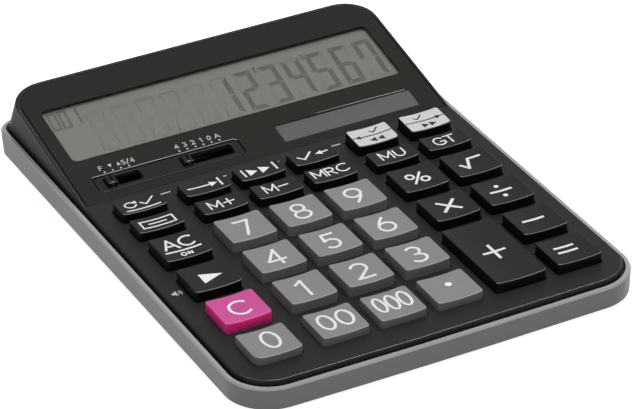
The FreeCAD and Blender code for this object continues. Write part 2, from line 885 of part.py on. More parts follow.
def buzzer_seat():
    return edge_plane_z(buzzer_y, floor_thickness + buzzer_ring_height)


def make_upper_case():
    """The black shell: folded top, key openings, seam lip, display recess, posts and slots."""
    outer = upper_outside()
    collar = case_prism(rim_width + groove_clearance, -seam_depth, -groove_depth)
    lip = case_prism(lower_wall + groove_clearance, -seam_depth - lip_height, -seam_depth)
    body = outer.fuse([collar, lip])
    body = body.cut(upper_cavity())

    ceiling = under_panel(panel_thickness / 2).fuse(under_display(display_wall / 2))
    posts = []
    for x, y in case_screw_places():
        posts.append(peg(x, y, case_seat_z, big / 4, case_post_radius).common(ceiling))
    for x, y in board_screw_places():
        posts.append(peg(x, y, board_top, big / 4, board_post_radius).common(ceiling))
    for x, along in holder_screw_places():
        low = -display_wall - 2 * lcd_glass_thickness
        posts.append(on_display(peg(x, along, low, -display_wall + sink, holder_post_radius)))
    body = fuse_all([body] + posts)

    tools = []
    for key in key_list():
        tools.append(key_hole(key))
    for x, y in case_screw_places():
        end = case_seat_z + case_screw_length - case_boss_floor + sink
        tools.append(peg(x, y, case_seat_z - sink, end, case_screw_radius + thread_clearance))
    for x, y in board_screw_places():
        tools.append(peg(x, y, board_top - sink, board_bottom + small_screw_length + sink,
                         small_screw_radius + thread_clearance))
    floor_z = -plate_thickness
    tools.append(on_display(plate_shape(plate_gap, floor_z, 2 * sink, plate_front - plate_front_gap)))
    for x, along in holder_screw_places():
        low = -display_wall - 2 * lcd_glass_thickness
        tools.append(on_display(peg(x, along, low - sink, -display_wall + sink / 2,
                                    small_screw_radius + thread_clearance)))
    ledge_under = floor_z - window_ledge_thickness
    tools.append(on_display(lcd_opening(0.0, ledge_under - sink, 0)))
    tools.append(on_display(lcd_pocket(-display_wall - sink, ledge_under)))
    tools.append(on_display(solar_opening(0.0, -display_wall - sink, 0)))
    tools.append(on_display(switch_slot(mode_switch_x, mode_switch_steps)))
    tools.append(on_display(switch_slot(decimal_switch_x, decimal_switch_steps)))
    return body.cut(tools)


def make_display_panel():
    """The black panel on the display slope, with its two windows and the switch recess cut out."""
    plate = plate_shape(0.0, -plate_thickness, 0.0, plate_front)
    tools = [
        lcd_opening(window_ledge, -plate_thickness - sink, sink),
        solar_opening(window_ledge, -plate_thickness - sink, sink),
        switch_recess(-plate_thickness - sink, sink),
    ]
    return on_display(plate.cut(tools))


def make_lcd_glass():
    """The display cell: a front glass with a contact ledge and a shorter rear glass."""
    half = lcd_width / 2
    front_low = -display_wall - lcd_glass_thickness
    front = box(-half, half, lcd_front_start, lcd_end, front_low, -display_wall)
    rear = box(-half, half, lcd_rear_start, lcd_end, front_low - lcd_glass_thickness, front_low)
    return on_display(fuse_all([front, rear]))


def make_lcd_holder():
    """The tray behind the display cell, open at the front for the ribbon, with four screw ears."""
    half = lcd_width / 2 + holder_clearance
    rear = lcd_end + holder_clearance
    seat = -display_wall - 2 * lcd_glass_thickness
    low = seat - holder_floor
    floor = box(-half - holder_wall, half + holder_wall, lcd_rear_start, rear + holder_wall, low, seat)
    parts = [floor]
    for side in (-1, 1):
        inner = side * half
        outer = side * (half + holder_wall)
        parts.append(box(min(inner, outer), max(inner, outer), lcd_rear_start, rear + holder_wall,
                         low, -display_wall))
    parts.append(box(-half - holder_wall, half + holder_wall, rear, rear + holder_wall, low,
                     -display_wall))
    for x, along in holder_screw_places():
        start = min(along - holder_post_radius, lcd_rear_start)
        end = max(along + holder_post_radius, rear)
        start = rear if along > rear else start
        end = lcd_rear_start + holder_wall if along < lcd_rear_start else end
        parts.append(box(x - holder_ear_width / 2, x + holder_ear_width / 2, start, end, low, seat))
    body = fuse_all(parts)
    holes = [peg(x, along, low - sink, seat + sink, small_screw_radius + thread_clearance)
             for x, along in holder_screw_places()]
    return on_display(body.cut(holes))


def make_lcd_ribbon():
    """The flat flexible lead from the main board up to the display cell's contact ledge."""
    middle = board_top + ribbon_thickness / 2
    ledge = -display_wall - lcd_glass_thickness - ribbon_thickness / 2
    start = Vector(0, board_rear_y - ribbon_overlap - ribbon_bend, middle)
    high = display_point(0, lcd_front_start + holder_clearance, ledge)
    end = display_point(0, lcd_rear_start - holder_clearance, ledge)
    low = Vector(0, high.y - ribbon_bend, middle)
    path = rounded_path([start, low, high, end], ribbon_bend)
    half = ribbon_width / 2
    low_z = middle - ribbon_thickness / 2
    high_z = middle + ribbon_thickness / 2
    section = Part.makePolygon([
        Vector(-half, start.y, low_z),
        Vector(half, start.y, low_z),
        Vector(half, start.y, high_z),
        Vector(-half, start.y, high_z),
        Vector(-half, start.y, low_z),
    ])
    return path.makePipeShell([section], True, False)


def rounded_path(points, bend):
    """Straight runs joined by tangent arcs of one radius."""
    edges = []
    last = points[0]
    for before, corner, after in zip(points, points[1:], points[2:]):
        into = (corner - before).normalize()
        out = (after - corner).normalize()
        turn = into.getAngle(out)
        trim = bend * math.tan(turn / 2)
        first = corner - into * trim
        final = corner + out * trim
        inward = (out - into).normalize()
        centre = corner + inward * (bend / math.cos(turn / 2))
        middle = centre - inward * bend
        edges.append(line(last, first))
        edges.append(arc(first, middle, final))
        last = final
    edges.append(line(last, points[-1]))
    return Part.Wire(edges)


def make_knob(x):
    """A slide switch's knob: grooved grip, flange under the slot and stem down to the board."""
    half_w = knob_width / 2
    half_d = knob_depth / 2
    flange_high = -display_wall - slot_clearance
    flange_low = flange_high - knob_flange_thickness
    grip = box(x - half_w, x + half_w, switch_centre - half_d, switch_centre + half_d, flange_low, knob_rise)
    groove = box(x - knob_groove / 2, x + knob_groove / 2, switch_centre - knob_depth,
                 switch_centre + knob_depth, knob_rise - knob_groove_depth, knob_rise + sink)
    flange = box(x - half_w - knob_flange_reach, x + half_w + knob_flange_reach,
                 switch_centre - half_d - knob_flange_reach, switch_centre + half_d + knob_flange_reach,
                 flange_low, flange_high)
    upper = on_display(fuse_all([grip.cut(groove), flange]))
    foot = display_point(x, switch_centre, flange_low)
    stem = box(x - knob_stem_width / 2, x + knob_stem_width / 2, foot.y - knob_stem_depth / 2,
               foot.y + knob_stem_depth / 2, stem_bottom(), foot.z + knob_flange_thickness / 2)
    return fuse_all([upper, stem])


def stem_bottom():
    return board_top + contact_gap + wiper_height


def make_wiper(x):
    """The sprung contact under a switch's stem: a plate with two bent fingers."""
    foot = display_point(x, switch_centre, -display_wall - slot_clearance - knob_flange_thickness)
    half_w = knob_stem_width / 2
    top = stem_bottom()
    plate = box(x - half_w, x + half_w, foot.y - knob_stem_depth / 2, foot.y + knob_stem_depth / 2,
                top - wiper_thickness, top)
    fingers = []
    for side in (-1, 1):
        near = foot.y + side * (knob_stem_depth - wiper_finger_width) / 2 - wiper_finger_width / 2
        points = [
            Vector(x - half_w, near, top),
            Vector(x + half_w, near, top - wiper_height + wiper_thickness),
            Vector(x + half_w, near, top - wiper_height),
            Vector(x - half_w, near, top - wiper_thickness),
            Vector(x - half_w, near, top),
        ]
        fingers.append(Part.Face(Part.makePolygon(points)).extrude(Vector(0, wiper_finger_width, 0)))
    return fuse_all([plate] + fingers)


def make_solar_cell():
    """The solar cell, held against the underside of the display slope."""
    return on_display(solar_opening(solar_margin, -display_wall - solar_thickness, -display_wall))


def make_key_mat():
    """The rubber sheet with a collapsing dome under each key and two under the long one."""
    front = row_y[3] - mat_margin
    rear = white_key_y + white_key_depth / 2
    half = column_x[5] + dome_base / 2 + sink
    parts = [box(-half, half, front, rear, board_top, mat_top)]
    for key in key_list():
        long = key.depth > row_pitch
        spots = [row_y[2], row_y[3]] if long else [key.y]
        for y in spots:
            foot = ring(key.x, y, dome_base / 2, 8)
            head = ring(key.x, y, dome_top / 2, 8)
            parts.append(flat_sided([(mat_top, foot), (dome_top_z, head)]))
    mat = fuse_all(parts)
    holes = [peg(x, y, board_top - sink, mat_top + sink, board_post_radius + post_hole_margin)
             for x, y in board_screw_places()]
    return mat.cut(holes)


def make_main_board():
    """The printed circuit board under the keys and the switches."""
    board = box(-board_half_width, board_half_width, board_front_y, board_rear_y, board_bottom, board_top)
    holes = [peg(x, y, board_bottom - sink, board_top + sink, small_screw_radius + post_hole_margin)
             for x, y in board_screw_places()]
    return board.cut(holes)


def save(name, shapes):
    """Write one node, as one solid or a group of separate solids."""
    solids = shapes if isinstance(shapes, list) else [shapes]
    whole = Part.makeCompound(solids) if len(solids) > 1 else solids[0]
    if whole.ShapeType == "Compound" and len(whole.Solids) == 1:
        whole = whole.Solids[0]
    whole.exportStep("parts/" + name + ".step")
    print(name, len(whole.Solids), round(whole.Volume, 1), whole.isValid())


os.makedirs("parts", exist_ok=True)
world_shift = Vector(0, 0, 0)
world_shift = find_world_shift()

save("lower_case", make_lower_case())
save("upper_case", to_world(make_upper_case()))
save("display_panel", to_world(make_display_panel()))
save("lcd_window", to_world(on_display(lcd_opening(window_ledge, -plate_thickness, 0.0))))
save("solar_window", to_world(on_display(solar_opening(window_ledge, -plate_thickness, 0.0))))
save("lcd_glass", to_world(make_lcd_glass()))
save("lcd_holder", to_world(make_lcd_holder()))
save("lcd_ribbon", to_world(make_lcd_ribbon()))
save("solar_cell", to_world(make_solar_cell()))
save("key_mat", to_world(make_key_mat()))
save("main_board", to_world(make_main_board()))
save("battery_cover", to_world(make_battery_cover()))
save("battery_cell", to_world(disc(cell_x, cell_y, cell_bottom(), cell_top(), cell_radius)))
save("battery_contacts", [to_world(shape) for shape in make_battery_contacts()])
save("buzzer", to_world(disc(buzzer_x, buzzer_y, buzzer_seat(), buzzer_seat() + buzzer_thickness,
                             buzzer_radius)))
save("rubber_feet", rubber_pads())

save("case_screws", [
    to_world(screw(x, y, case_seat_z - case_boss_floor, case_screw_radius, case_screw_length,
                   case_head_radius, case_head_height))
    for x, y in case_screw_places()
])
save("board_screws", [
    to_world(screw(x, y, board_bottom, small_screw_radius, small_screw_length, small_head_radius,
                   small_head_height))
    for x, y in board_screw_places()
])
holder_seat = -display_wall - 2 * lcd_glass_thickness - holder_floor
save("holder_screws", [
    to_world(on_display(screw(x, along, holder_seat, small_screw_radius, small_screw_length,
                              small_head_radius, small_head_height)))
    for x, along in holder_screw_places()
])
save("cover_screw", to_world(screw(cover_screw_x, cell_y, edge_plane_z(cell_y, cover_head_height),
                                   small_screw_radius, small_screw_length, small_head_radius,
                                   small_head_height)))

save("mode_switch", to_world(make_knob(mode_switch_x)))
save("mode_switch_wiper", to_world(make_wiper(mode_switch_x)))
save("decimal_switch", to_world(make_knob(decimal_switch_x)))
save("decimal_switch_wiper", to_world(make_wiper(decimal_switch_x)))

for key in key_list():
    save("key_" + key.name, to_world(key_cap(key)))
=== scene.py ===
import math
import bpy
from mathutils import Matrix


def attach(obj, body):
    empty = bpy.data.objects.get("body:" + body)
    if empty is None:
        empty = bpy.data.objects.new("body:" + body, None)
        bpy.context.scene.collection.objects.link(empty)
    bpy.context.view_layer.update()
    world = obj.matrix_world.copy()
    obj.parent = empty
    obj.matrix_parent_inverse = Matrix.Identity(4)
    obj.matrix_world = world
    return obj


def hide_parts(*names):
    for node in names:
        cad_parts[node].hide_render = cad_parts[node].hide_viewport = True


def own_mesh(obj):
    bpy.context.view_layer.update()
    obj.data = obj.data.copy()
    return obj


bl_info = {
    "name": "Desktop Calculator Looks",
    "version": (1, 0, 0),
    "blender": (4, 5, 0),
    "location": "3D View > Sidebar > Calculator",
    "description": "Dresses a calculator with moulded caps, printed legends and plastic finishes",
    "category": "Object",
}

from contextlib import contextmanager

import bmesh
import bpy
from bpy.props import FloatProperty, FloatVectorProperty, IntProperty, PointerProperty
from mathutils import Matrix, Vector

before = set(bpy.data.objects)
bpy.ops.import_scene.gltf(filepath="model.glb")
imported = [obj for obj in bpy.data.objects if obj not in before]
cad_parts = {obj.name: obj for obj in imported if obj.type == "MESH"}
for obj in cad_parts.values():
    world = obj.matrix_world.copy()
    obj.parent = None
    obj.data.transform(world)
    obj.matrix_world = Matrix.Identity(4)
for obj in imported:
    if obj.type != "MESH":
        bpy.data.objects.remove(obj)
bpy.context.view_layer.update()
MM = 0.001


def length(name, description, default):
    """A size in metres that a user may change, given in millimetres."""
    return FloatProperty(name=name, description=description, default=default * MM, unit="LENGTH",
                         precision=5)


def angle(name, description, default):
    """An angle that a user may change, given in degrees."""
    return FloatProperty(name=name, description=description, default=math.radians(default),
                         subtype="ANGLE", unit="ROTATION")


def colour(name, description, default):
    """A plastic or print colour that a user may change."""
    return FloatVectorProperty(name=name, description=description, default=(*default, 1.0), size=4,
                               min=0.0, max=1.0, subtype="COLOR")


class CalculatorCase(bpy.types.PropertyGroup):
    """Where the keyboard and the display slope lie, and the colours of the case."""
    tilt: angle("Keyboard tilt", "Slope of the keyboard panel over the table", 3.7)
    shift_y: length("Front", "Place of the rim's front face before the tilt", -95.445)
    shift_z: length("Rim height", "Height of the rim's top at its front face", 8.5347)
    rise: length("Panel rise", "Height of the keyboard panel over the rim", 1.45)
    crease: length("Crease", "Distance from the front face to the display slope", 123.0)
    slope: angle("Display slope", "Slope of the display over the keyboard panel", 11.95)
    soft_edge: length("Soft edge", "Radius that moulded edges seem to have", 0.22)
    black: colour("Black", "Colour of the upper case", (0.0115, 0.0118, 0.0100))
    gloss: colour("Panel black", "Colour of the smooth display panel", (0.0120, 0.0124, 0.0098))
    grey: colour("Grey", "Colour of the lower case", (0.235, 0.236, 0.237))


class CalculatorKeys(bpy.types.PropertyGroup):
    """The form and the colours of the key caps."""
    corner: length("Corner", "Radius of a cap's upright corners", 1.1)
    edge: length("Edge", "Radius round a cap's top", 0.28)
    dish: length("Dish", "Depth of the hollow in a cap's top", 0.5)
    zero_corner: length("Zero corner", "Radius of the zero cap's front left corner", 3.2)
    white_slope: angle("Review cap slope", "Slope of the two review caps' tops", 2.8)
    flare: length("Flare", "How far a cap's foot stands out from its top", 0.1)
    reach: length("Flange", "How far the flange stands out from a cap's top", 1.2)
    grey: colour("Grey", "Colour of the number keys", (0.205, 0.205, 0.207))
    black: colour("Black", "Colour of the function keys", (0.0034, 0.0034, 0.0030))
    magenta: colour("Magenta", "Colour of the clear key", (0.545, 0.070, 0.280))
    # Painted light: a brighter copy of the magenta for the clear key's sides, for light that shines
    # through them; the subsurface glow under it is real.
    flank: colour("Flank", "Colour that shines through the sides of the clear key", (0.80, 0.05, 0.36))
    white: colour("White", "Colour of the two review caps' tops", (0.56, 0.56, 0.565))


class CalculatorPrint(bpy.types.PropertyGroup):
    """The printed legends."""
    white: colour("White", "Colour of the key legends", (0.78, 0.78, 0.79))
    dim: colour("Dim white", "Colour of the small print on the panels", (0.50, 0.50, 0.49))
    thickness: length("Thickness", "How far the print stands over the plastic", 0.03)


class CalculatorDisplay(bpy.types.PropertyGroup):
    """The liquid crystal display, its windows and the solar cell."""
    reflector: colour("Reflector", "Colour of the display's ground", (0.150, 0.153, 0.136))
    dark: FloatProperty(name="Segment", description="Brightness of a dark segment against the ground",
                        default=0.42, min=0.0, max=1.0)
    solar: colour("Solar cell", "Colour of the solar cell", (0.056, 0.054, 0.058))
    digit_height: length("Digit height", "Height of the large digits between their bars' middles", 17.7)
    bar: length("Bar", "Width of a segment of the large digits", 1.95)
    digit_pitch: length("Digit pitch", "Distance between the large digits", 9.09)
    lean: angle("Digit lean", "Slant of the digits", 3.7)


class CalculatorStage(bpy.types.PropertyGroup):
    """The floor, the lamps and the camera."""
    floor: colour("Floor", "Colour of the floor", (0.58, 0.58, 0.58))
    lens: FloatProperty(name="Lens", description="Focal length of the camera", default=198.72,
                        unit="CAMERA")
    overhead: FloatProperty(name="Overhead lamp", description="Power of the large lamp above",
                            default=19.8, min=0.0)
    side: FloatProperty(name="Side lamp", description="Power of the lamp at the left", default=3.2,
                        min=0.0)
    sky: FloatProperty(name="Sky", description="Strength of the even light all round", default=0.06,
                       min=0.0)
    seed: IntProperty(name="Seed", description="Seed of the grain", default=3)


GROUPS = {
    "calculator_case": CalculatorCase,
    "calculator_keys": CalculatorKeys,
    "calculator_print": CalculatorPrint,
    "calculator_display": CalculatorDisplay,
    "calculator_stage": CalculatorStage,
}


def settings(name):
    """One of the groups of sizes and colours."""
    return getattr(bpy.context.scene, "calculator_" + name)


def panel_matrix():
    """From the keyboard's own frame, with Z = 0 on the rim's top, to the table's frame."""
    case = settings("case")
    return Matrix.Translation((0, case.shift_y, case.shift_z)) @ Matrix.Rotation(case.tilt, 4, "X")


def display_matrix():
    """From the display's own frame, with Y up the slope from the crease, to the table's frame."""
    case = settings("case")
    place = Matrix.Translation((0, case.crease, case.rise))
    return panel_matrix() @ place @ Matrix.Rotation(case.slope, 4, "X")


def at(matrix, x, y, z):
    """A point that is given in millimetres in another frame, in the table's frame."""
    return matrix @ (Vector((x, y, z)) * MM)


def on_plane(matrix, height=0.0):
    """A function that puts a print's x, y and z at a height in another frame."""
    return lambda x, y, z: at(matrix, x, y, height + z)


def closed_pairs(items):
    """Each item of a closed run with the one after it."""
    return zip(items, items[1:] + items[:1])


def extent(points):
    """The lowest and the highest corner round some points."""
    return [Vector([pick(point[axis] for point in points) for axis in range(3)]) for pick in (min, max)]


class Value:
    """A number in a material, which adds a Math node for each operator it is used with."""

    def __init__(self, finish, socket):
        self.finish = finish
        self.socket = socket

    def math(self, operation, *others):
        node = self.finish.node("ShaderNodeMath", {"operation": operation}, self, *others)
        return Value(self.finish, node.outputs[0])

    def __add__(self, other):
        return self.math("ADD", other)

    __radd__ = __add__

    def __mul__(self, other):
        return self.math("MULTIPLY", other)

    __rmul__ = __mul__

    def __sub__(self, other):
        return self.math("SUBTRACT", other)

    def __rsub__(self, other):
        return (self * -1.0) + other

    def __truediv__(self, other):
        return self.math("DIVIDE", other)

    def __gt__(self, other):
        return self.math("GREATER_THAN", other)

    def __abs__(self):
        return self.math("ABSOLUTE")

    def sine(self):
        return self.math("SINE")

    def clamp(self):
        return self.math("MINIMUM", 1.0).math("MAXIMUM", 0.0)


class Tree:
    """A node tree and the one way in which it gets its nodes."""

    def __init__(self, tree):
        self.tree = tree

    def node(self, kind, options, *values, **named):
        """A node of a kind with its options set first, then the values or links of its sockets."""
        node = self.tree.nodes.new(kind)
        for key, value in options.items():
            setattr(node, key, value)
        for place, value in [*enumerate(values), *named.items()]:
            self.join(node.inputs[place.replace("_", " ") if isinstance(place, str) else place], value)
        return node

    def join(self, socket, value):
        """Put a value or a link on a socket."""
        if isinstance(value, Value):
            value = value.socket
        if isinstance(value, bpy.types.NodeSocket):
            self.tree.links.new(value, socket)
        elif value is not None:
            socket.default_value = value

    def close(self, geometry, material):
        """End a geometry tree with one real mesh in its material."""
        real = self.node("GeometryNodeRealizeInstances", {}, geometry)
        paint = self.node("GeometryNodeSetMaterial", {}, real.outputs[0], Material=material)
        self.node("NodeGroupOutput", {}, paint.outputs[0])
        return self.tree


class Finish(Tree):
    """A material or the world, its shader and the places of its pattern on the object."""

    def __init__(self, name, world=None):
        self.material = world or bpy.data.materials.new(name)
        self.material.use_nodes = True
        super().__init__(self.material.node_tree)
        if not world:
            self.shader = self.tree.nodes["Principled BSDF"]
            self.output = self.tree.nodes["Material Output"].inputs["Surface"]
            self.coordinates = self.node("ShaderNodeTexCoord", {}).outputs["Object"]

    def noise(self, scale, detail=2.0, roughness=0.5, where=None):
        """Even noise with grains of a size given in millimetres."""
        node = self.node("ShaderNodeTexNoise", {}, Vector=where or self.coordinates,
                         Scale=1.0 / (scale * MM), Detail=detail, Roughness=roughness)
        return Value(self, node.outputs["Fac"])

    def place(self, axis):
        """The object's X, Y or Z in millimetres, as a value."""
        node = self.node("ShaderNodeSeparateXYZ", {}, self.coordinates)
        return Value(self, node.outputs[axis]) / MM

    def mix(self, amount, first, second):
        """A colour between two."""
        node = self.node("ShaderNodeMix", {"data_type": "RGBA"}, amount, *[None] * 5, first, second)
        return node.outputs[2]

    def seen(self):
        """1 for rays from the camera, a mirror or a window, 0 for rays that only carry light."""
        path = self.node("ShaderNodeLightPath", {})
        camera, glossy, through = [Value(self, path.outputs[f"Is {kind} Ray"])
                                   for kind in ("Camera", "Glossy", "Transmission")]
        return (camera + glossy + through).clamp()

    def shade(self, **named):
        """Set the shader's own sockets."""
        for name, value in named.items():
            self.join(self.shader.inputs[name.replace("_", " ")], value)

    def bump(self, height, depth, edge=0.0):
        """Raise the surface by height times depth in millimetres, over softened edges."""
        under = None
        if edge:
            under = self.node("ShaderNodeBevel", {"samples": 6}, edge).outputs[0]
        node = self.node("ShaderNodeBump", {}, Height=height, Distance=depth * MM, Strength=1.0,
                         Normal=under)
        self.shade(Normal=node.outputs[0])


def tint(colour_value, factor):
    """A colour made darker or lighter by a factor."""
    return tuple(min(1.0, part * factor) for part in colour_value[:3]) + (1.0,)


def moulded_plastic(finish, base, roughness, grain, depth, edge=0.0, worn=0.0, specular=0.5, glow=0.0):
    """Spark-eroded plastic: fine grain in its relief and gloss, faint clouds in its colour.

    The grain's size and depth and the glow's reach are in millimetres."""
    clouds = finish.noise(14.0, 3.0)
    fine = finish.noise(grain, 3.0, 0.6)
    speck = finish.noise(grain * 2.3, 1.0)
    body = finish.mix(clouds, tint(base, 0.94), tint(base, 1.06))
    body = finish.mix(speck * 0.22, body, tint(base, 0.80))
    if worn:
        rub = (finish.noise(5.0, 4.0) - 0.60).clamp() * worn
        body = finish.mix(rub, body, tint(base, 1.5))
    finish.shade(Base_Color=body, Roughness=clouds * 0.10 + fine * 0.08 + (roughness - 0.09))
    finish.shade(Specular_IOR_Level=specular)
    if glow:
        finish.shade(Subsurface_Weight=1.0, Subsurface_Radius=(1.0, 0.15, 0.35),
                     Subsurface_Scale=glow * MM)
    finish.bump(fine, depth, edge)


def printed_ink(finish, base):
    """Pad-printed ink with a slightly uneven edge to its coverage."""
    thin = finish.noise(0.35, 2.0)
    finish.shade(Base_Color=finish.mix(thin * 0.5, base, tint(base, 0.86)),
                 Roughness=thin * 0.15 + 0.42, Specular_IOR_Level=0.1)
    finish.bump(thin, 0.006)


def clear_plastic(finish, mirror):
    """A clear window: it lets light straight through and mirrors a little."""
    haze = finish.noise(9.0, 2.0)
    clear = finish.node("ShaderNodeBsdfTransparent", {}, (0.985, 0.985, 0.98, 1.0))
    finish.shade(Base_Color=(0.02, 0.02, 0.02, 1.0), Roughness=haze * 0.03 + 0.05)
    facing = Value(finish, finish.node("ShaderNodeFresnel", {}, IOR=1.46).outputs[0])
    rear = Value(finish, finish.node("ShaderNodeNewGeometry", {}).outputs["Backfacing"])
    blend = finish.node("ShaderNodeMixShader", {}, facing * mirror * (1.0 - rear), clear.outputs[0],
                        finish.shader.outputs[0])
    finish.join(finish.output, blend.outputs[0])


def bright_metal(finish, base, roughness, grain):
    """Rolled or plated metal with fine drawn lines."""
    drawn = finish.node("ShaderNodeMapping", {}, finish.coordinates, Scale=(1.0, 12.0, 1.0)).outputs[0]
    lines = finish.noise(grain, 3.0, 0.6, drawn)
    finish.shade(Base_Color=finish.mix(lines, tint(base, 0.9), tint(base, 1.08)), Metallic=1.0,
                 Roughness=lines * 0.12 + roughness)
    finish.bump(lines, 0.004)


def display_reflector(finish, base):
    """The display's grey-green ground, with the fine sparkle of its rear foil and painted shade that
    darkens it towards the rear.
    """
    clouds = finish.noise(20.0, 2.0)
    foil = finish.noise(0.5, 3.0, 0.7)
    # Painted shade: the ground grows darker towards the rear, where the shadow of the display's far
    # edge falls.
    painted_rear_shade = ((finish.place("Y") - 45.0) / 60.0).clamp()
    ground = finish.mix(clouds, tint(base, 0.95), tint(base, 1.05))
    ground = finish.mix(foil * 0.25, ground, tint(base, 0.84))
    ground = finish.mix(painted_rear_shade * 0.35, ground, tint(base, 0.85))
    finish.shade(Base_Color=ground, Roughness=foil * 0.1 + 0.38)
    finish.bump(foil, 0.01)


def solar_film(finish, base):
    """Amorphous solar film: dark, slightly violet, with fine cell lines along its length."""
    clouds = finish.noise(6.0, 3.0)
    fine = finish.noise(0.4, 2.0)
    quarter = (finish.place("X") - 8.5) / 12.4
    edge = abs(quarter.math("FRACT") - 0.5) > 0.485
    film = finish.mix(clouds, tint(base, 0.9), (base[0] * 1.05, base[1] * 0.98, base[2] * 1.15, 1.0))
    film = finish.mix(fine * 0.3, film, tint(base, 1.25))
    finish.shade(Base_Color=finish.mix(edge * 0.5, film, tint(base, 0.5)), Roughness=fine * 0.2 + 0.35)
    finish.bump(fine, 0.005)


def circuit_board(finish):
    """Green solder mask over copper tracks, which show as faint raised lines."""
    across = (finish.place("X") * 1.6).sine() > 0.72
    track = across.math("MAXIMUM", (finish.place("Y") * 0.9).sine() > 0.9)
    clouds = finish.noise(8.0, 3.0)
    mask = finish.mix(clouds, (0.004, 0.030, 0.012, 1.0), (0.006, 0.042, 0.016, 1.0))
    finish.shade(Base_Color=finish.mix(track, mask, (0.010, 0.065, 0.025, 1.0)),
                 Roughness=clouds * 0.1 + 0.3)
    finish.bump(track, 0.03)


def soft_rubber(finish, base, roughness):
    """Silicone or foot rubber, matt with a faint bloom."""
    bloom = finish.noise(3.0, 4.0)
    fine = finish.noise(0.3, 3.0)
    finish.shade(Base_Color=finish.mix(bloom * 0.5, base, tint(base, 1.3)),
                 Roughness=fine * 0.1 + roughness)
    finish.bump(fine, 0.02)


def track_film(finish, base):
    """Thin dark film with the fine straight tracks of a ribbon."""
    track = (finish.place("X") * 5.2).sine() > 0.1
    fine = finish.noise(0.6, 2.0)
    finish.shade(Base_Color=finish.mix(track * 0.6, base, (0.03, 0.03, 0.03, 1.0)),
                 Roughness=fine * 0.15 + 0.25)
    finish.bump(track, 0.01)


FINISHES = {}


def finish_table():
    """Each finish's maker and the maker's values."""
    case = settings("case")
    keys = settings("keys")
    ink = settings("print")
    display = settings("display")
    # A plastic's values: colour, roughness, grain's size and depth, soft edge, wear, specular, glow.
    table = {
        "case_black": (moulded_plastic, case.black, 0.50, 0.28, 0.020, case.soft_edge, 0.0, 0.10),
        "case_grey": (moulded_plastic, case.grey, 0.42, 0.30, 0.012, case.soft_edge, 0.1, 0.15),
        # Painted light: a lighter black for the upper case's steep front faces.
        "case_black_front": (moulded_plastic, tint(case.black, 2.8), 0.50, 0.28, 0.020, case.soft_edge,
                             0.0, 0.10),
        "panel_gloss": (moulded_plastic, case.gloss, 0.34, 0.35, 0.004, 0.0, 0.0, 0.08),
        "key_grey": (moulded_plastic, keys.grey, 0.42, 0.22, 0.007, 0.0, 0.15, 0.15),
        "key_black": (moulded_plastic, keys.black, 0.40, 0.22, 0.007, 0.0, 0.2, 0.12),
        "key_magenta": (moulded_plastic, keys.magenta, 0.40, 0.22, 0.007, 0.0, 0.0, 0.12, 2.0),
        # Painted light on the clear key's sides, over a real subsurface glow.
        "key_magenta_flank": (moulded_plastic, keys.flank, 0.40, 0.22, 0.007, 0.0, 0.0, 0.12, 5.0),
        "key_white": (moulded_plastic, keys.white, 0.42, 0.22, 0.006, 0.0, 0.0, 0.12),
        "knob_black": (moulded_plastic, keys.black, 0.38, 0.20, 0.006, 0.0, 0.0, 0.12),
        "holder_white": (moulded_plastic, (0.62, 0.62, 0.60, 1.0), 0.5, 0.3, 0.01),
        # Painted shade: near-black for sheets set in gaps, where shadow falls.
        "seam_black": (moulded_plastic, (0.001, 0.001, 0.001, 1.0), 0.6, 0.3, 0.004, 0.0, 0.0, 0.02),
        "ink_white": (printed_ink, ink.white),
        "ink_dim": (printed_ink, ink.dim),
        # Painted highlight: a pale grey for lines where edges catch the light.
        "ink_line": (printed_ink, tint(ink.dim, 0.62)),
        "ink_black": (printed_ink, (0.02, 0.02, 0.02, 1.0)),
        "ink_digit": (display_reflector, tint(display.reflector, display.dark)),
        "ink_small": (display_reflector, tint(display.reflector, display.dark * 1.2)),
        "ink_ghost": (display_reflector, tint(display.reflector, 0.957)),
        "reflector": (display_reflector, display.reflector),
        "window_clear": (clear_plastic, 0.9),
        "solar": (solar_film, display.solar),
        "board": (circuit_board,),
        "mat": (soft_rubber, (0.42, 0.42, 0.40, 1.0), 0.6),
        "foot": (soft_rubber, (0.022, 0.022, 0.022, 1.0), 0.62),
        "ribbon": (track_film, (0.012, 0.012, 0.012, 1.0)),
        "steel": (bright_metal, (0.58, 0.58, 0.57, 1.0), 0.28, 0.5),
        "brass": (bright_metal, (0.72, 0.52, 0.22, 1.0), 0.25, 0.5),
    }
    # Painted highlights: a paler, glossier copy of each plastic for rounded edges that face the front,
    # where light catches them; they glow as their plastic does.
    edges = {
        "case_black": (0.28, 0.28, 0.27, 1.0), "case_grey": tint(case.grey, 1.25),
        "panel_gloss": (0.05, 0.05, 0.048, 1.0), "key_grey": tint(keys.grey, 1.3),
        "key_black": (0.08, 0.08, 0.078, 1.0), "key_magenta": tint(keys.magenta, 1.35),
        "knob_black": (0.10, 0.10, 0.098, 1.0),
    }
    for plastic, base in edges.items():
        smooth = (moulded_plastic, base, 0.30, 0.30, 0.003, 0.0, 0.0, 0.50)
        table[plastic + "_edge"] = smooth + table[plastic][len(smooth):]
    return table


def finish_named(name):
    """The material of a name, made when it is first asked for."""
    if name not in FINISHES:
        maker, *values = finish_table()[name]
        finish = Finish(name)
        maker(finish, *values)
        FINISHES[name] = finish.material
    return FINISHES[name]


def add_object(name, data):
    """A new object in the scene."""
    item = bpy.data.objects.new(name, data)
    bpy.context.scene.collection.objects.link(item)
    return item


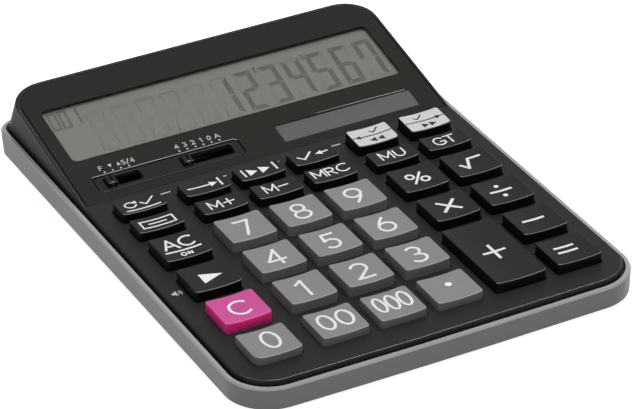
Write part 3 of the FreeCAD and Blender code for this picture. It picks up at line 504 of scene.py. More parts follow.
def add_piece(name, mesh, finish, slot, body, *nodes):
    """Put a finished mesh in the scene on its body, in place of the nodes it stands for."""
    piece = add_object(name, mesh)
    if finish:
        finishes = [finish] if isinstance(finish, str) else finish
        kept = [min(face.material_index, len(finishes) - 1) for face in mesh.polygons]
        mesh.materials.clear()
        for each in finishes:
            mesh.materials.append(finish_named(each))
        mesh.polygons.foreach_set("material_index", kept)
    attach(piece, body)
    if nodes:
        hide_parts(*nodes)
    return piece


def dress_node(node, finish):
    """Give a node of the frame that stays a better material."""
    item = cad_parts[node]
    item.data.materials.clear()
    item.data.materials.append(finish_named(finish))


@contextmanager
def editing(mesh):
    """A mesh opened for bmesh's tools and written back afterwards."""
    form = bmesh.new()
    form.from_mesh(mesh)
    yield form
    form.to_mesh(mesh)
    form.free()


def ring_faces(first, second, count):
    """The faces between two rings of points, from the numbers of the rings' first points."""
    return [[first + a, first + b, second + b, second + a] for a, b in closed_pairs([*range(count)])]


def mesh_from(name, points, faces, sharp=35.0):
    """A mesh with smooth faces and sharp edges where it turns by more than an angle."""
    mesh = bpy.data.meshes.new(name)
    mesh.from_pydata([tuple(point) for point in points], [], faces)
    mesh.validate()
    shade_smooth(mesh, sharp)
    return mesh


def shade_smooth(mesh, sharp):
    """Make a mesh smooth but for the edges where it turns by more than an angle."""
    mesh.polygons.foreach_set("use_smooth", [True] * len(mesh.polygons))
    mesh.set_sharp_from_angle(angle=math.radians(sharp))
    mesh.update()


def evaluated_copy(source, name):
    """The mesh that an object's modifiers make, as a plain mesh; the object is removed."""
    bpy.context.view_layer.update()
    graph = bpy.context.evaluated_depsgraph_get()
    mesh = bpy.data.meshes.new_from_object(source.evaluated_get(graph))
    mesh.name = name
    bpy.data.objects.remove(source)
    return mesh


# Points nearer than this are one, and faces that turn by less than this are flat.
SAME_PLACE = 2e-6
FLAT = math.radians(0.5)


def softened_copy(node, bevel, sharp=32.0, **rounding):
    """A merged copy of a node's mesh with its flat faces joined and its edges rounded."""
    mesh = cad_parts[node].data.copy()
    with editing(mesh) as form:
        bmesh.ops.remove_doubles(form, verts=form.verts, dist=SAME_PLACE)
        if bevel:
            bmesh.ops.dissolve_limit(form, angle_limit=FLAT, verts=form.verts, edges=form.edges)
    shade_smooth(mesh, sharp)
    return softened(mesh, node + "_form", bevel, sharp, **rounding)


def softened(mesh, name, bevel, sharp=32.0, segments=2, foot=0.0):
    """A mesh with its sharp edges rounded by bevel, and its outer lower edge by foot if that is given.

    The rounded edges in front take the second finish, a painted highlight."""
    for _ in range(2):
        mesh.materials.append(None)
    source = add_object(name, mesh)
    if bevel:
        rounding = source.modifiers.new("rounding", "BEVEL")
        rounding.width = max(bevel, foot) * MM
        rounding.segments = segments
        rounding.limit_method = "ANGLE"
        rounding.angle_limit = math.radians(sharp)
        rounding.harden_normals = True
        rounding.use_clamp_overlap = True
        rounding.material = 1
        if foot:
            weigh_edges(mesh, math.radians(sharp), bevel / foot)
            rounding.limit_method = "WEIGHT"
    weighting = source.modifiers.new("weighting", "WEIGHTED_NORMAL")
    weighting.keep_sharp = True
    rounded = evaluated_copy(source, name)
    turn = panel_matrix().to_3x3().inverted()
    # Only rounded edges that face the front keep the painted highlight.
    for face in rounded.polygons:
        if face.material_index == 1 and not faces_front(turn @ face.normal, 0.6):
            face.material_index = 0
    return rounded


def faces_front(normal, rise=0.1):
    """Whether part of a rounded edge faces the front, where it takes a painted highlight."""
    return normal.y < -0.2 and normal.z > rise


def weigh_edges(mesh, sharp, share):
    """Give sharp edges a share of the rounding, and the outer lower edge all of it."""
    # The outer lower edge lies under this height and within this distance of the outline.
    rim = -5.0
    wall = 6.0
    turn = panel_matrix().inverted()
    places = [(turn @ vertex.co) / MM for vertex in mesh.vertices]
    half_w = max(abs(place.x) for place in places)
    front = min(place.y for place in places)
    rear = max(place.y for place in places)
    with editing(mesh) as form:
        weight = form.edges.layers.float.new("bevel_weight_edge")
        for edge in form.edges:
            if len(edge.link_faces) != 2 or edge.calc_face_angle() < sharp:
                continue
            middle = turn @ ((edge.verts[0].co + edge.verts[1].co) / 2) / MM
            slopes = sorted((turn.to_3x3() @ face.normal).z for face in edge.link_faces)
            inward = min(half_w - abs(middle.x), middle.y - front, rear - middle.y)
            outer = slopes[0] < -0.9 and abs(slopes[1]) < 0.4 and middle.z < rim
            edge[weight] = 1.0 if outer and inward < wall else share


def rounded_outline(half_w, half_d, radii, across, along, steps):
    """Points round a rectangle with rounded corners, with extra points on its straight sides."""
    corners = [(-1, -1, 180), (1, -1, 270), (1, 1, 0), (-1, 1, 90)]
    points = []
    for number, (side_x, side_y, start) in enumerate(corners):
        radius = radii[number]
        centre_x = side_x * (half_w - radius)
        centre_y = side_y * (half_d - radius)
        for step in range(steps + 1):
            turn = math.radians(start + 90 * step / steps)
            points.append((centre_x + radius * math.cos(turn), centre_y + radius * math.sin(turn)))
        far_x, far_y, _ = corners[(number + 1) % 4]
        far_radius = radii[(number + 1) % 4]
        last = points[-1]
        if number % 2 == 0:
            goal = (far_x * (half_w - far_radius), last[1])
            count = across
        else:
            goal = (last[0], far_y * (half_d - far_radius))
            count = along
        for step in range(1, count):
            points.append(between(last, goal, step / count))
    return points


def between(first, last, share):
    """The point at a share of the way from one point to another."""
    return tuple(a + (b - a) * share for a, b in zip(first, last))


def node_corners(node, matrix):
    """A node's lowest and highest corners in another frame, in millimetres."""
    inverse = matrix.inverted()
    return extent([inverse @ vertex.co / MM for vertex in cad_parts[node].data.vertices])


WHITE_KEYS = ("check_back", "check_forward")
GREY_KEYS = ("seven", "eight", "nine", "four", "five", "six", "one", "two", "three", "zero",
             "double_zero", "triple_zero", "point")


class KeyForm:
    """One key's measures, read from its node, and the height of its top at any point."""

    def __init__(self, name):
        keys = settings("keys")
        self.name = name
        self.low, self.high = node_corners("key_" + name, panel_matrix())
        self.x = (self.low.x + self.high.x) / 2
        self.y = (self.low.y + self.high.y) / 2
        self.half_w = (self.high.x - self.low.x) / 2 - keys.reach / MM
        self.half_d = (self.high.y - self.low.y) / 2 - keys.reach / MM
        self.rows = 1 if self.half_d < 12 else 2
        self.slope = math.tan(keys.white_slope) if name in WHITE_KEYS else 0.0
        self.top = self.high.z - self.half_d * self.slope
        self.dish = keys.dish / MM
        self.bend = (self.half_w ** 2 + self.dish ** 2) / (2 * self.dish)
        self.radii = [keys.corner / MM] * 4
        if name == "zero":
            self.radii[0] = keys.zero_corner / MM

    def surface(self, x, y):
        """Height of the cap's top, with x and y from the key's middle."""
        x = max(-self.half_w, min(self.half_w, x))
        sag = self.bend - math.sqrt(self.bend ** 2 - x ** 2)
        return self.top - self.dish + sag + y * self.slope

    def point(self, x, y, z):
        """A point over the key's middle, in the table's frame."""
        return at(panel_matrix(), self.x + x, self.y + y, z)

    def on_top(self, x, y, z):
        """A print's point on the cap's top, in the table's frame."""
        return self.point(x, y, self.surface(x, y) + z)


def cap_mesh(form):
    """A cap from its flange to its dished top, with a rounded edge."""
    keys = settings("keys")
    flare = keys.flare / MM
    edge = keys.edge / MM
    reach = keys.reach / MM
    collar = settings("case").rise / MM - 0.3
    # The flange's thickness, and how much tighter its corners are.
    flange = 0.9
    tighter = -1.3
    across = 12
    along = 12 * form.rows
    steps = 6
    narrowing = flare / (form.top - collar) * (form.top - edge - collar)
    rings = []

    def ring(grow, height, radius_change=0.0):
        radii = [max(radius + radius_change, 0.25) for radius in form.radii]
        outline = rounded_outline(form.half_w + grow, form.half_d + grow, radii, across, along, steps)
        rings.append([(x, y, height(x, y)) for x, y in outline])

    ring(reach, lambda x, y: form.low.z, tighter)
    ring(reach, lambda x, y: form.low.z + flange, tighter)
    ring(flare, lambda x, y: form.low.z + flange)
    ring(flare, lambda x, y: collar)
    for share in (0.5, 1.0):
        def side(x, y, share=share):
            return collar + (form.surface(x, y) - edge - collar) * share
        ring(flare - narrowing * share, side)
    sides = len(rings)
    shoulder = flare - narrowing
    for step in range(1, steps + 1):
        turn = math.radians(90 * step / steps)
        drop = edge * (1 - math.sin(turn))
        inward = edge * (1 - math.cos(turn))
        ring(shoulder - inward, lambda x, y: form.surface(x, y) - drop, -inward / 2)
    rounded = len(rings)
    start = edge - shoulder
    final = min(form.half_w, form.half_d) - 0.15
    for share in (0.06, 0.16, 0.30, 0.50, 0.75, 1.0):
        depth = start + (final - start) * share
        ring(-depth, lambda x, y: form.surface(x, y), -depth * 0.8)

    points = [form.point(*place) for outline in rings for place in outline]
    count = len(rings[0])
    faces = [list(range(count))[::-1]]
    for level in range(len(rings) - 1):
        faces += ring_faces(level * count, (level + 1) * count, count)
    faces += top_faces((len(rings) - 1) * count, across, along, steps)
    mesh = mesh_from("cap_" + form.name, points, faces, 40.0)
    for face in mesh.polygons:
        level = (face.index - 1) // count
        if level >= rounded - 1 and form.name in WHITE_KEYS:
            face.material_index = 2
        # Painted highlight: rounded edges that face the front take the paler edge finish.
        elif sides <= level < rounded and faces_front(face.normal):
            face.material_index = 1
        # Painted light: the clear key's sides take the brighter magenta.
        elif level < sides and form.name == "clear":
            face.material_index = 2
    return mesh


def top_faces(base, across, along, steps):
    """Close the last ring of a cap with a strip of faces from its front to its rear."""
    count = 4 * steps + 2 * across + 2 * along
    front = [base + steps + number for number in range(across + 1)]
    rear_start = base + 3 * steps + across + along
    rear = [rear_start + number for number in range(across + 1)][::-1]
    faces = []
    for number in range(across):
        faces.append([front[number], front[number + 1], rear[number + 1], rear[number]])
    right = list(range(front[-1], rear[-1] + 1))
    left = list(range(rear[0], base + count)) + list(range(base, front[0] + 1))
    return faces + [right, left]


def key_finish(name):
    """The finish and the material slot of a key."""
    if name in GREY_KEYS:
        return "key_grey", "grey_key"
    if name == "clear":
        return "key_magenta", "magenta_key"
    if name in WHITE_KEYS:
        return "key_black", "white_key"
    return "key_black", "black_key"


def round_stroke(x, y, radius_x, radius_y, start, end, steps=14):
    """Points along part of an oval."""
    points = []
    for step in range(steps + 1):
        turn = math.radians(start + (end - start) * step / steps)
        points.append((x + radius_x * math.cos(turn), y + radius_y * math.sin(turn)))
    return points


def swing(first, control, last, steps=10):
    """Points along a curve pulled towards a control point."""
    points = []
    for step in range(steps + 1):
        share = step / steps
        rest = 1 - share
        points.append(tuple(rest * rest * first[axis] + 2 * rest * share * control[axis]
                            + share * share * last[axis] for axis in range(2)))
    return points


def turned(strokes, width):
    """A glyph turned half round."""
    return [[(width - x, 1 - y) for x, y in stroke] for stroke in strokes]


def oval_stroke(width):
    """A closed upright oval of a width, in shares of its height."""
    return round_stroke(width / 2, 0.5, width / 2, 0.5, 90, 450, 28)


STEM = [(0.0, 0.0), (0.0, 1.0)]
SIX = [round_stroke(0.31, 0.30, 0.31, 0.30, 90, 450, 24),
       swing((0.42, 1.0), (0.06, 0.62), (0.0, 0.31))]

# Each glyph is its width and its strokes, in shares of its height.
GLYPHS = {
    "0": (0.58, [oval_stroke(0.58)]),
    "o": (0.41, [oval_stroke(0.41)]),
    "1": (0.27, [[(0.0, 0.80), (0.27, 1.0)], [(0.27, 1.0), (0.27, 0.0)]]),
    "2": (0.62, [round_stroke(0.31, 0.69, 0.30, 0.31, 165, -28) + [(0.02, 0.0)],
                 [(0.0, 0.0), (0.64, 0.0)]]),
    "3": (0.60, [round_stroke(0.28, 0.755, 0.25, 0.245, 150, -90) + [(0.20, 0.51)],
                 [(0.20, 0.51)] + round_stroke(0.28, 0.255, 0.30, 0.255, 90, -155)]),
    "4": (0.68, [[(0.48, 0.0), (0.48, 1.0)], [(0.48, 1.0), (0.0, 0.27)], [(0.0, 0.27), (0.68, 0.27)]]),
    "5": (0.60, [[(0.56, 1.0), (0.12, 1.0)], [(0.12, 1.0), (0.07, 0.54)],
                 [(0.07, 0.54)] + round_stroke(0.28, 0.31, 0.31, 0.31, 118, -145)]),
    "6": (0.62, SIX),
    "7": (0.57, [[(0.0, 1.0), (0.57, 1.0)], [(0.57, 1.0), (0.19, 0.0)]]),
    "8": (0.62, [round_stroke(0.31, 0.75, 0.25, 0.25, -90, 270, 22),
                 round_stroke(0.31, 0.26, 0.31, 0.26, 90, 450, 24)]),
    "9": (0.62, turned(SIX, 0.62)),
    "A": (0.86, [[(0.0, 0.0), (0.43, 1.0)], [(0.43, 1.0), (0.86, 0.0)], [(0.17, 0.33), (0.69, 0.33)]]),
    "C": (0.86, [round_stroke(0.48, 0.5, 0.48, 0.5, 42, 318, 26)]),
    "D": (0.76, [STEM, [(0.0, 1.0)] + round_stroke(0.27, 0.5, 0.49, 0.5, 90, -90)
                 + [(0.0, 0.0)]]),
    "F": (0.56, [STEM, [(0.0, 1.0), (0.56, 1.0)], [(0.0, 0.52), (0.48, 0.52)]]),
    "G": (0.86, [round_stroke(0.45, 0.5, 0.45, 0.5, 42, 320, 26), [(0.52, 0.46), (0.87, 0.46)],
                 [(0.84, 0.46), (0.84, 0.17)]]),
    "M": (0.90, [STEM, [(0.0, 1.0), (0.45, 0.22)], [(0.45, 0.22), (0.90, 1.0)],
                 [(0.90, 1.0), (0.90, 0.0)]]),
    "N": (0.72, [STEM, [(0.0, 1.0), (0.72, 0.0)], [(0.72, 0.0), (0.72, 1.0)]]),
    "O": (0.96, [oval_stroke(0.96)]),
    "R": (0.64, [STEM,
                 [(0.0, 1.0)] + round_stroke(0.32, 0.74, 0.28, 0.26, 90, -90) + [(0.0, 0.48)],
                 [(0.30, 0.48), (0.62, 0.0)]]),
    "T": (0.72, [[(0.0, 1.0), (0.72, 1.0)], [(0.36, 1.0), (0.36, 0.0)]]),
    "U": (0.70, [[(0.0, 1.0), (0.0, 0.36)] + round_stroke(0.35, 0.35, 0.35, 0.35, 180, 360)
                 + [(0.70, 1.0)]]),
    "+": (0.80, [[(0.0, 0.5), (0.80, 0.5)], [(0.40, 0.10), (0.40, 0.90)]]),
    "-": (0.72, [[(0.0, 0.5), (0.72, 0.5)]]),
    "x": (0.86, [[(0.0, 0.07), (0.86, 0.93)], [(0.0, 0.93), (0.86, 0.07)]]),
    "=": (0.90, [[(0.0, 0.30), (0.90, 0.30)], [(0.0, 0.72), (0.90, 0.72)]]),
    "/": (0.42, [[(0.0, -0.05), (0.42, 1.05)]]),
    "%": (1.17, [round_stroke(0.24, 0.76, 0.23, 0.23, 90, 450, 18), [(0.22, 0.0), (0.95, 1.0)],
                 round_stroke(0.93, 0.24, 0.23, 0.23, 90, 450, 18)]),
    "root": (1.5, [[(0.0, 0.45), (0.34, 0.0)], [(0.34, 0.0), (0.74, 1.0)], [(0.74, 1.0), (1.5, 1.0)]]),
    " ": (0.40, []),
}


USUAL_GAP = 0.26


def word_strokes(word, height, middle_x, middle_y, gap=USUAL_GAP):
    """Strokes of a word whose middle is at a point, in millimetres."""
    letters = [word] if word in GLYPHS else list(word)
    whole = sum(GLYPHS[letter][0] for letter in letters) + gap * (len(letters) - 1)
    left = middle_x - whole * height / 2
    strokes = []
    for letter in letters:
        width, shapes = GLYPHS[letter]
        for shape in shapes:
            strokes.append([(left + x * height, middle_y + (y - 0.5) * height) for x, y in shape])
        left += (width + gap) * height
    return strokes


def node_group(name, sockets):
    """A new geometry tree with named inputs, and the outputs of its input node."""
    tree = bpy.data.node_groups.new(name, "GeometryNodeTree")
    for title, kind in (("Geometry", "Geometry"), *sockets):
        tree.interface.new_socket(title, in_out="INPUT", socket_type="NodeSocket" + kind)
    tree.interface.new_socket("Geometry", in_out="OUTPUT", socket_type="NodeSocketGeometry")
    form = Tree(tree)
    return form, form.node("NodeGroupInput", {}).outputs


def stroke_tree():
    """A node tree that sweeps a flat rectangular profile along every line of a mesh."""
    if "print_strokes" in bpy.data.node_groups:
        return bpy.data.node_groups["print_strokes"]
    form, given = node_group("print_strokes", (("Stroke width", "Float"), ("Thickness", "Float"),
                                               ("Material", "Material")))
    lines = form.node("GeometryNodeMeshToCurve", {}, given["Geometry"])
    upright = form.node("GeometryNodeSetCurveNormal", {"mode": "Z_UP"}, lines.outputs[0])
    profile = form.node("GeometryNodeCurvePrimitiveQuadrilateral", {}, given["Stroke width"],
                        given["Thickness"])
    sweep = form.node("GeometryNodeCurveToMesh", {}, upright.outputs[0], profile.outputs[0],
                      Fill_Caps=True)
    return form.close(sweep.outputs[0], given["Material"])


def grown_mesh(name, mesh, tree, inputs):
    """The mesh that a node tree makes from a mesh, with the tree's inputs set by their identifiers."""
    source = add_object(name, mesh)
    modifier = source.modifiers.new(tree.name, "NODES")
    modifier.node_group = tree
    for item in tree.interface.items_tree:
        if item.item_type == "SOCKET" and item.in_out == "INPUT" and item.name in inputs:
            modifier[item.identifier] = inputs[item.name]
    return evaluated_copy(source, name)


def stroke_mesh(name, strokes, width, finish):
    """Flat closed ribbons along strokes given in millimetres, lying in the plane Z = 0."""
    points = []
    edges = []
    for stroke in strokes:
        closed = math.dist(stroke[0], stroke[-1]) < 1e-4
        run = finer(stroke, width)
        if not closed:
            run = lengthened(run, width * 0.42 if len(stroke) == 2 else 0.0)
        else:
            run = run[:-1]
        first = len(points)
        points += [(x * MM, y * MM, 0.0) for x, y in run]
        edges += [(first + number, first + number + 1) for number in range(len(run) - 1)]
        if closed:
            edges.append((len(points) - 1, first))
    mesh = bpy.data.meshes.new(name)
    mesh.from_pydata(points, edges, [])
    thickness = 2 * settings("print").thickness
    return grown_mesh(name, mesh, stroke_tree(), {"Stroke width": width * MM, "Thickness": thickness,
                                                  "Material": finish_named(finish)})


def finer(stroke, step):
    """A stroke with extra points, so that it can follow a hollow surface."""
    points = [stroke[0]]
    for first, last in zip(stroke, stroke[1:]):
        pieces = max(1, int(math.dist(first, last) / (1.2 * step)))
        points += [between(first, last, number / pieces) for number in range(1, pieces + 1)]
    return points


def lengthened(run, amount):
    """A run with both ends pushed out, so that strokes that meet fill their corner."""
    if not amount:
        return run
    result = list(run)
    for end, inner in ((0, 1), (-1, -2)):
        gap = math.dist(run[end], run[inner])
        result[end] = tuple(a + (a - b) * amount / gap for a, b in zip(run[end], run[inner]))
    return result


def flat_shapes(name, outlines, half):
    """Closed flat shapes from outlines in millimetres, with half their thickness in metres."""
    points = []
    faces = []
    for outline in outlines:
        first = len(points)
        count = len(outline)
        points += [(x * MM, y * MM, z) for z in (-half, half) for x, y in outline]
        faces.append([first + number for number in range(count)][::-1])
        faces.append([first + count + number for number in range(count)])
        faces += ring_faces(first, first + count, count)
    return mesh_from(name, points, faces, 30.0)


def holed_plate(name, outer, holes, low, high):
    """A plate between two heights from its outline and the outlines of its holes, in millimetres."""
    form = bmesh.new()
    levels = []
    for height in (low, high):
        loops = []
        edges = []
        for outline in (outer, *holes):
            loop = [form.verts.new((x * MM, y * MM, height * MM)) for x, y in outline]
            edges += [form.edges.new(pair) for pair in closed_pairs(loop)]
            loops.append(loop)
        bmesh.ops.triangle_fill(form, use_beauty=True, edges=edges)
        levels.append(loops)
    for under, over in zip(*levels):
        for (a, b), (c, d) in zip(closed_pairs(under), closed_pairs(over)):
            form.faces.new((a, b, d, c))
    bmesh.ops.recalc_face_normals(form, faces=form.faces)
    bmesh.ops.dissolve_limit(form, angle_limit=FLAT, verts=form.verts, edges=form.edges)
    mesh = bpy.data.meshes.new(name)
    form.to_mesh(mesh)
    form.free()
    shade_smooth(mesh, 32.0)
    return mesh


def placed_outline(left, front, right, rear, radii, steps=8):
    """A rounded rectangle's outline between its sides."""
    middle = ((left + right) / 2, (front + rear) / 2)
    outline = rounded_outline((right - left) / 2, (rear - front) / 2, radii, 1, 1, steps)
    return [(x + middle[0], y + middle[1]) for x, y in outline]


def add_softened(name, node, bevel, finish, slot, **form):
    """A node of the case with its edges softened, as a piece."""
    add_piece(name, softened_copy(node, bevel, **form), finish, slot, "case", node)


def node_outline(node, margin, radius, steps=8):
    """A rounded outline round a node as the display's own frame sees it, grown by a margin."""
    low, high = node_corners(node, display_matrix())
    return placed_outline(low.x - margin, low.y - margin, high.x + margin, high.y + margin,
                          [radius] * 4, steps)


def on_display(mesh):
    """Move a mesh drawn in the display's own frame to its place."""
    mesh.transform(display_matrix())
    return mesh


def add_plate(name, outline, holes, low, high, *looks):
    """A plate drawn in the display's own frame, with the finish, slot, body and nodes of a piece; the
    slot is not used.
    """
    return add_piece(name, on_display(holed_plate(name, outline, holes, low, high)), *looks)


def circle(x, y, radius, steps=18):
    """A circle's outline with a number of points."""
    return round_stroke(x, y, radius, radius, 0, 360 - 360 / steps, steps - 1)


def lay_on(mesh, place):
    """Move each point of a flat mesh to where place puts its x, y and height."""
    for vertex in mesh.vertices:
        vertex.co = place(vertex.co.x / MM, vertex.co.y / MM, vertex.co.z / MM)
    mesh.update()


def join_meshes(name, meshes):
    """One mesh from several, keeping their materials."""
    form = bmesh.new()
    materials = []
    for mesh in meshes:
        start = len(form.faces)
        form.from_mesh(mesh)
        form.faces.ensure_lookup_table()
        offset = len(materials)
        for face in form.faces[start:]:
            face.material_index += offset
        materials += list(mesh.materials) or [None]
    whole = bpy.data.meshes.new(name)
    form.to_mesh(whole)
    form.free()
    for material in materials:
        whole.materials.append(material)
    return whole


# Each legend: its word or mark, its height, its stroke width, and its middle from the key's middle.
LEGENDS = {
    "seven": ("7", 8.25, 1.03, -0.14, -0.21), "eight": ("8", 8.57, 1.0, -0.11, -0.03),
    "nine": ("9", 8.67, 1.0, -0.27, -0.02), "four": ("4", 8.38, 1.0, -0.01, -0.22),
    "five": ("5", 8.27, 1.0, -0.10, -0.19), "six": ("6", 8.57, 1.0, -0.19, 0.28),
    "one": ("1", 8.57, 1.0, -0.90, -0.15), "two": ("2", 8.47, 1.0, -0.14, -0.03),
    "three": ("3", 8.7, 1.0, -0.26, 0.04), "zero": ("0", 8.75, 1.0, 0.89, 0.73),
    "double_zero": ("00", 8.08, 1.0, 0.26, 0.67), "triple_zero": ("ooo", 8.0, 0.95, 0.24, 0.98),
    "clear": ("C", 7.3, 0.97, 0.08, -0.41), "percent": ("%", 5.96, 0.85, -0.13, -0.32),
    "square_root": ("root", 5.6, 1.05, 0.12, -0.34), "multiply": ("x", 6.7, 1.1, 0.18, 0.05),
    "minus": ("-", 9.7, 1.1, -0.68, -0.03), "memory_plus": ("M+", 4.4, 0.62, 0.10, 0.15),
    "memory_minus": ("M-", 4.4, 0.62, 0.11, 0.48), "memory_recall": ("MRC", 4.45, 0.62, 0.30, 0.79),
    "mark_up": ("MU", 4.6, 0.62, 0.18, 0.50), "grand_total": ("GT", 4.5, 0.62, -0.17, 0.11),
}

# The space between a word's glyphs, where it isn't the usual one, in shares of their height.
GAPS = {"double_zero": 0.2, "triple_zero": 0.12, "grand_total": 0.12, "memory_recall": 0.23}


def arrow_head(x, y, width, height):
    """A filled triangle that points to +X, or to -X with a negative width."""
    return [(x - width / 2, y - height / 2), (x + width / 2, y), (x - width / 2, y + height / 2)]


def facing_up(outline):
    """An outline in counter-clockwise order."""
    area = sum(a[0] * b[1] - b[0] * a[1] for a, b in closed_pairs(outline))
    return outline if area > 0 else outline[::-1]


def ribbon(run, width):
    """The outline of a flat ribbon along a run of points, for print finer than the key's strokes."""
    left = []
    right = []
    for number, point in enumerate(run):
        before = run[max(number - 1, 0)]
        after = run[min(number + 1, len(run) - 1)]
        gap = math.dist(before, after) or 1.0
        aside = ((before[1] - after[1]) / gap * width / 2, (after[0] - before[0]) / gap * width / 2)
        left.append((point[0] + aside[0], point[1] + aside[1]))
        right.append((point[0] - aside[0], point[1] - aside[1]))
    return left + right[::-1]


def level_stroke(left, right, y):
    """A level stroke."""
    return [(left, y), (right, y)]


# Each mark: its strokes, their width and its filled shapes, from the key's middle.
MARKS = {
    "all_clear": (word_strokes("AC", 5.5, -0.05, 1.85, 0.2) + [level_stroke(-6.0, 5.7, -2.7)], 0.85,
                  [ribbon(run, 0.48) for run in word_strokes("ON", 1.75, -0.05, -5.05, 0.45)]),
    "plus": ([level_stroke(-3.38, 3.62, -0.3), [(0.12, -4.25), (0.12, 3.65)]], 1.1, []),
    "equals": ([level_stroke(-3.9, 2.3, 1.65), level_stroke(-3.9, 2.3, -1.2)], 1.05, []),
    "shift_right": ([], 1.0, [arrow_head(0.76, -0.58, 7.2, 5.6)]),
    "divide": ([level_stroke(-4.1, 2.95, -0.1)], 1.05,
               [circle(-0.57, 2.95, 0.85), circle(-0.57, -3.15, 0.85)]),
    "point": ([], 1.0, [circle(0.45, 1.52, 1.15)]),
    "recheck": ([round_stroke(-3.2, 0.5, 1.9, 1.6, 60, 350, 22), [(0.4, 0.7), (1.9, -0.9)],
                 [(1.9, -0.9), (5.2, 2.2)], level_stroke(-5.6, 5.8, -2.9)], 0.62,
                [arrow_head(-1.7, 1.7, -1.9, 1.9)]),
    "go_to": ([level_stroke(-5.6, 2.8, -0.1), [(5.6, -2.3), (5.6, 2.1)]], 0.7,
              [arrow_head(3.4, -0.1, 2.6, 3.0)]),
    "auto_review": ([[(-5.4, -2.1), (-5.4, 2.1)], [(5.8, -2.1), (5.8, 2.1)]], 0.7,
                    [arrow_head(-2.1, 0.0, 3.4, 4.2), arrow_head(2.3, 0.0, 3.4, 4.2)]),
    "correct": ([[(-5.2, 0.5), (-3.4, -1.4)], [(-3.4, -1.4), (0.2, 2.4)], level_stroke(1.8, 5.4, 0.3)],
                0.7, [arrow_head(2.4, 0.3, -2.2, 2.6)]),
    "display_swap": ([*map(list, closed_pairs([(-5.5, -2.2), (5.7, -2.2), (5.7, 1.8), (-5.5, 1.8)])),
                      level_stroke(-2.8, 3.0, -0.2)], 0.65, []),
}


def review_mark(way):
    """The mark of a review key: a check mark, a line and three heads that point to a side."""
    x = -1.6 * way - 0.3
    check = [[(x - 1.0, 2.5), (x, 1.5)], [(x, 1.5), (x + 2.2, 3.6)]]
    heads = [arrow_head(5.2 * way, 0.0, 2.0 * way, 2.2), arrow_head(-0.9, -2.7, 2.4 * way, 2.6),
             arrow_head(1.9, -2.7, 2.4 * way, 2.6)]
    return [*check, level_stroke(-6.9, 6.9, 0.0)], 0.5, heads


def key_marks(name):
    """A key's strokes, their width, its filled shapes and its ink."""
    if name in WHITE_KEYS:
        return *review_mark(-1 if name == "check_back" else 1), "ink_black"
    if name in MARKS:
        return *MARKS[name], "ink_white"
    word, height, width, x, y = LEGENDS[name]
    return word_strokes(word, height, x, y, GAPS.get(name, USUAL_GAP)), width, [], "ink_white"


def add_print(name, strokes, width, shapes, ink, place, slot, body="case"):
    """A piece of strokes and filled shapes in one ink, laid on a surface."""
    meshes = []
    if strokes:
        meshes.append(stroke_mesh(name + "_lines", strokes, width, ink))
    if shapes:
        outlines = [facing_up(list(shape)) for shape in shapes]
        filled = flat_shapes(name + "_fills", outlines, settings("print").thickness)
        filled.materials.append(finish_named(ink))
        meshes.append(filled)
    mesh = join_meshes(name, meshes)
    lay_on(mesh, place)
    with editing(mesh) as form:
        bmesh.ops.recalc_face_normals(form, faces=form.faces)
    add_piece(name, mesh, None, slot, body)


class CALCULATOR_OT_case(bpy.types.Operator):
    """Give the lower and the upper case soft edges and moulded finishes"""
    bl_idname = "calculator.case"
    bl_label = "Case"

    def execute(self, context):
        shell = softened_copy("lower_case", 0.36, segments=3, foot=1.3)
        turn = panel_matrix().to_3x3().inverted()
        # Painted light: the rim's upper faces take the pale finish of its edges, for the light that
        # falls on them.
        for face in shell.polygons:
            if (turn @ face.normal).z > 0.5:
                face.material_index = 1
        add_piece("lower_case_shell", shell, ("case_grey", "case_grey_edge"), "grey_case", "case",
                  "lower_case")
        shell = softened_copy("upper_case", 0.24)
        # Painted light: the steep faces at the front get a lighter black, for the light they catch.
        for face in shell.polygons:
            normal = turn @ face.normal
            if face.material_index == 0 and normal.y < -0.5 and abs(normal.z) < 0.4:
                face.material_index = 2
        add_piece("upper_case_shell", shell, ("case_black", "case_black_edge", "case_black_front"),
                  "black_case", "case", "upper_case")
        add_softened("battery_cover_plate", "battery_cover", 0.12, "case_grey", "grey_case")
        return {"FINISHED"}


# The display's and the solar cell's faces under the slope, and the clear parts of their windows.
LCD_FACE = -1.42
SOLAR_FACE = -0.36
LCD_VIEW = (-61.2, 21.5, 60.5, 48.9)
SOLAR_VIEW = (7.75, 4.25, 58.6, 12.95)


class CALCULATOR_OT_display_panel(bpy.types.Operator):
    """Round the display panel's edges and make its windows clear, each with a printed border"""
    bl_idname = "calculator.display_panel"
    bl_label = "Display panel and windows"

    def execute(self, context):
        add_softened("display_fascia", "display_panel", 0.14, "panel_gloss", "black_gloss")
        margin = 0.6
        for node, name, radius, depth, view in (
                ("lcd_window", "lcd_pane", 2.1, 0.5, LCD_VIEW),
                ("solar_window", "solar_pane", 0.15, 0.3, SOLAR_VIEW)):
            top = node_corners(node, display_matrix())[1].z
            add_plate(name, node_outline(node, 0.0, radius), [], -depth, top, "window_clear",
                      "clear_window", "case", node)
            add_plate(name + "_border", node_outline(node, margin, radius + margin),
                      [placed_outline(*view, [radius] * 4)], 0.0, 0.02, "panel_gloss", "black_gloss",
                      "case")
        self.seam()
        return {"FINISHED"}

    def seam(self):
        """A near-black ribbon in the gap between the display panel and the case: painted shade for the
        gap's deep shadow.
        """
        gap = 0.17
        bend = 10.67
        low, high = node_corners("display_panel", display_matrix())
        half = high.x + gap
        rear = high.y + gap
        run = [(-half, low.y)] + round_stroke(bend - half, rear - bend, bend, bend, 180, 90, 10)
        run += round_stroke(half - bend, rear - bend, bend, bend, 90, 0, 10) + [(half, low.y)]
        add_print("panel_seam", [run], 0.30, [], "seam_black", on_plane(display_matrix(), -0.12),
                  "black_gloss")


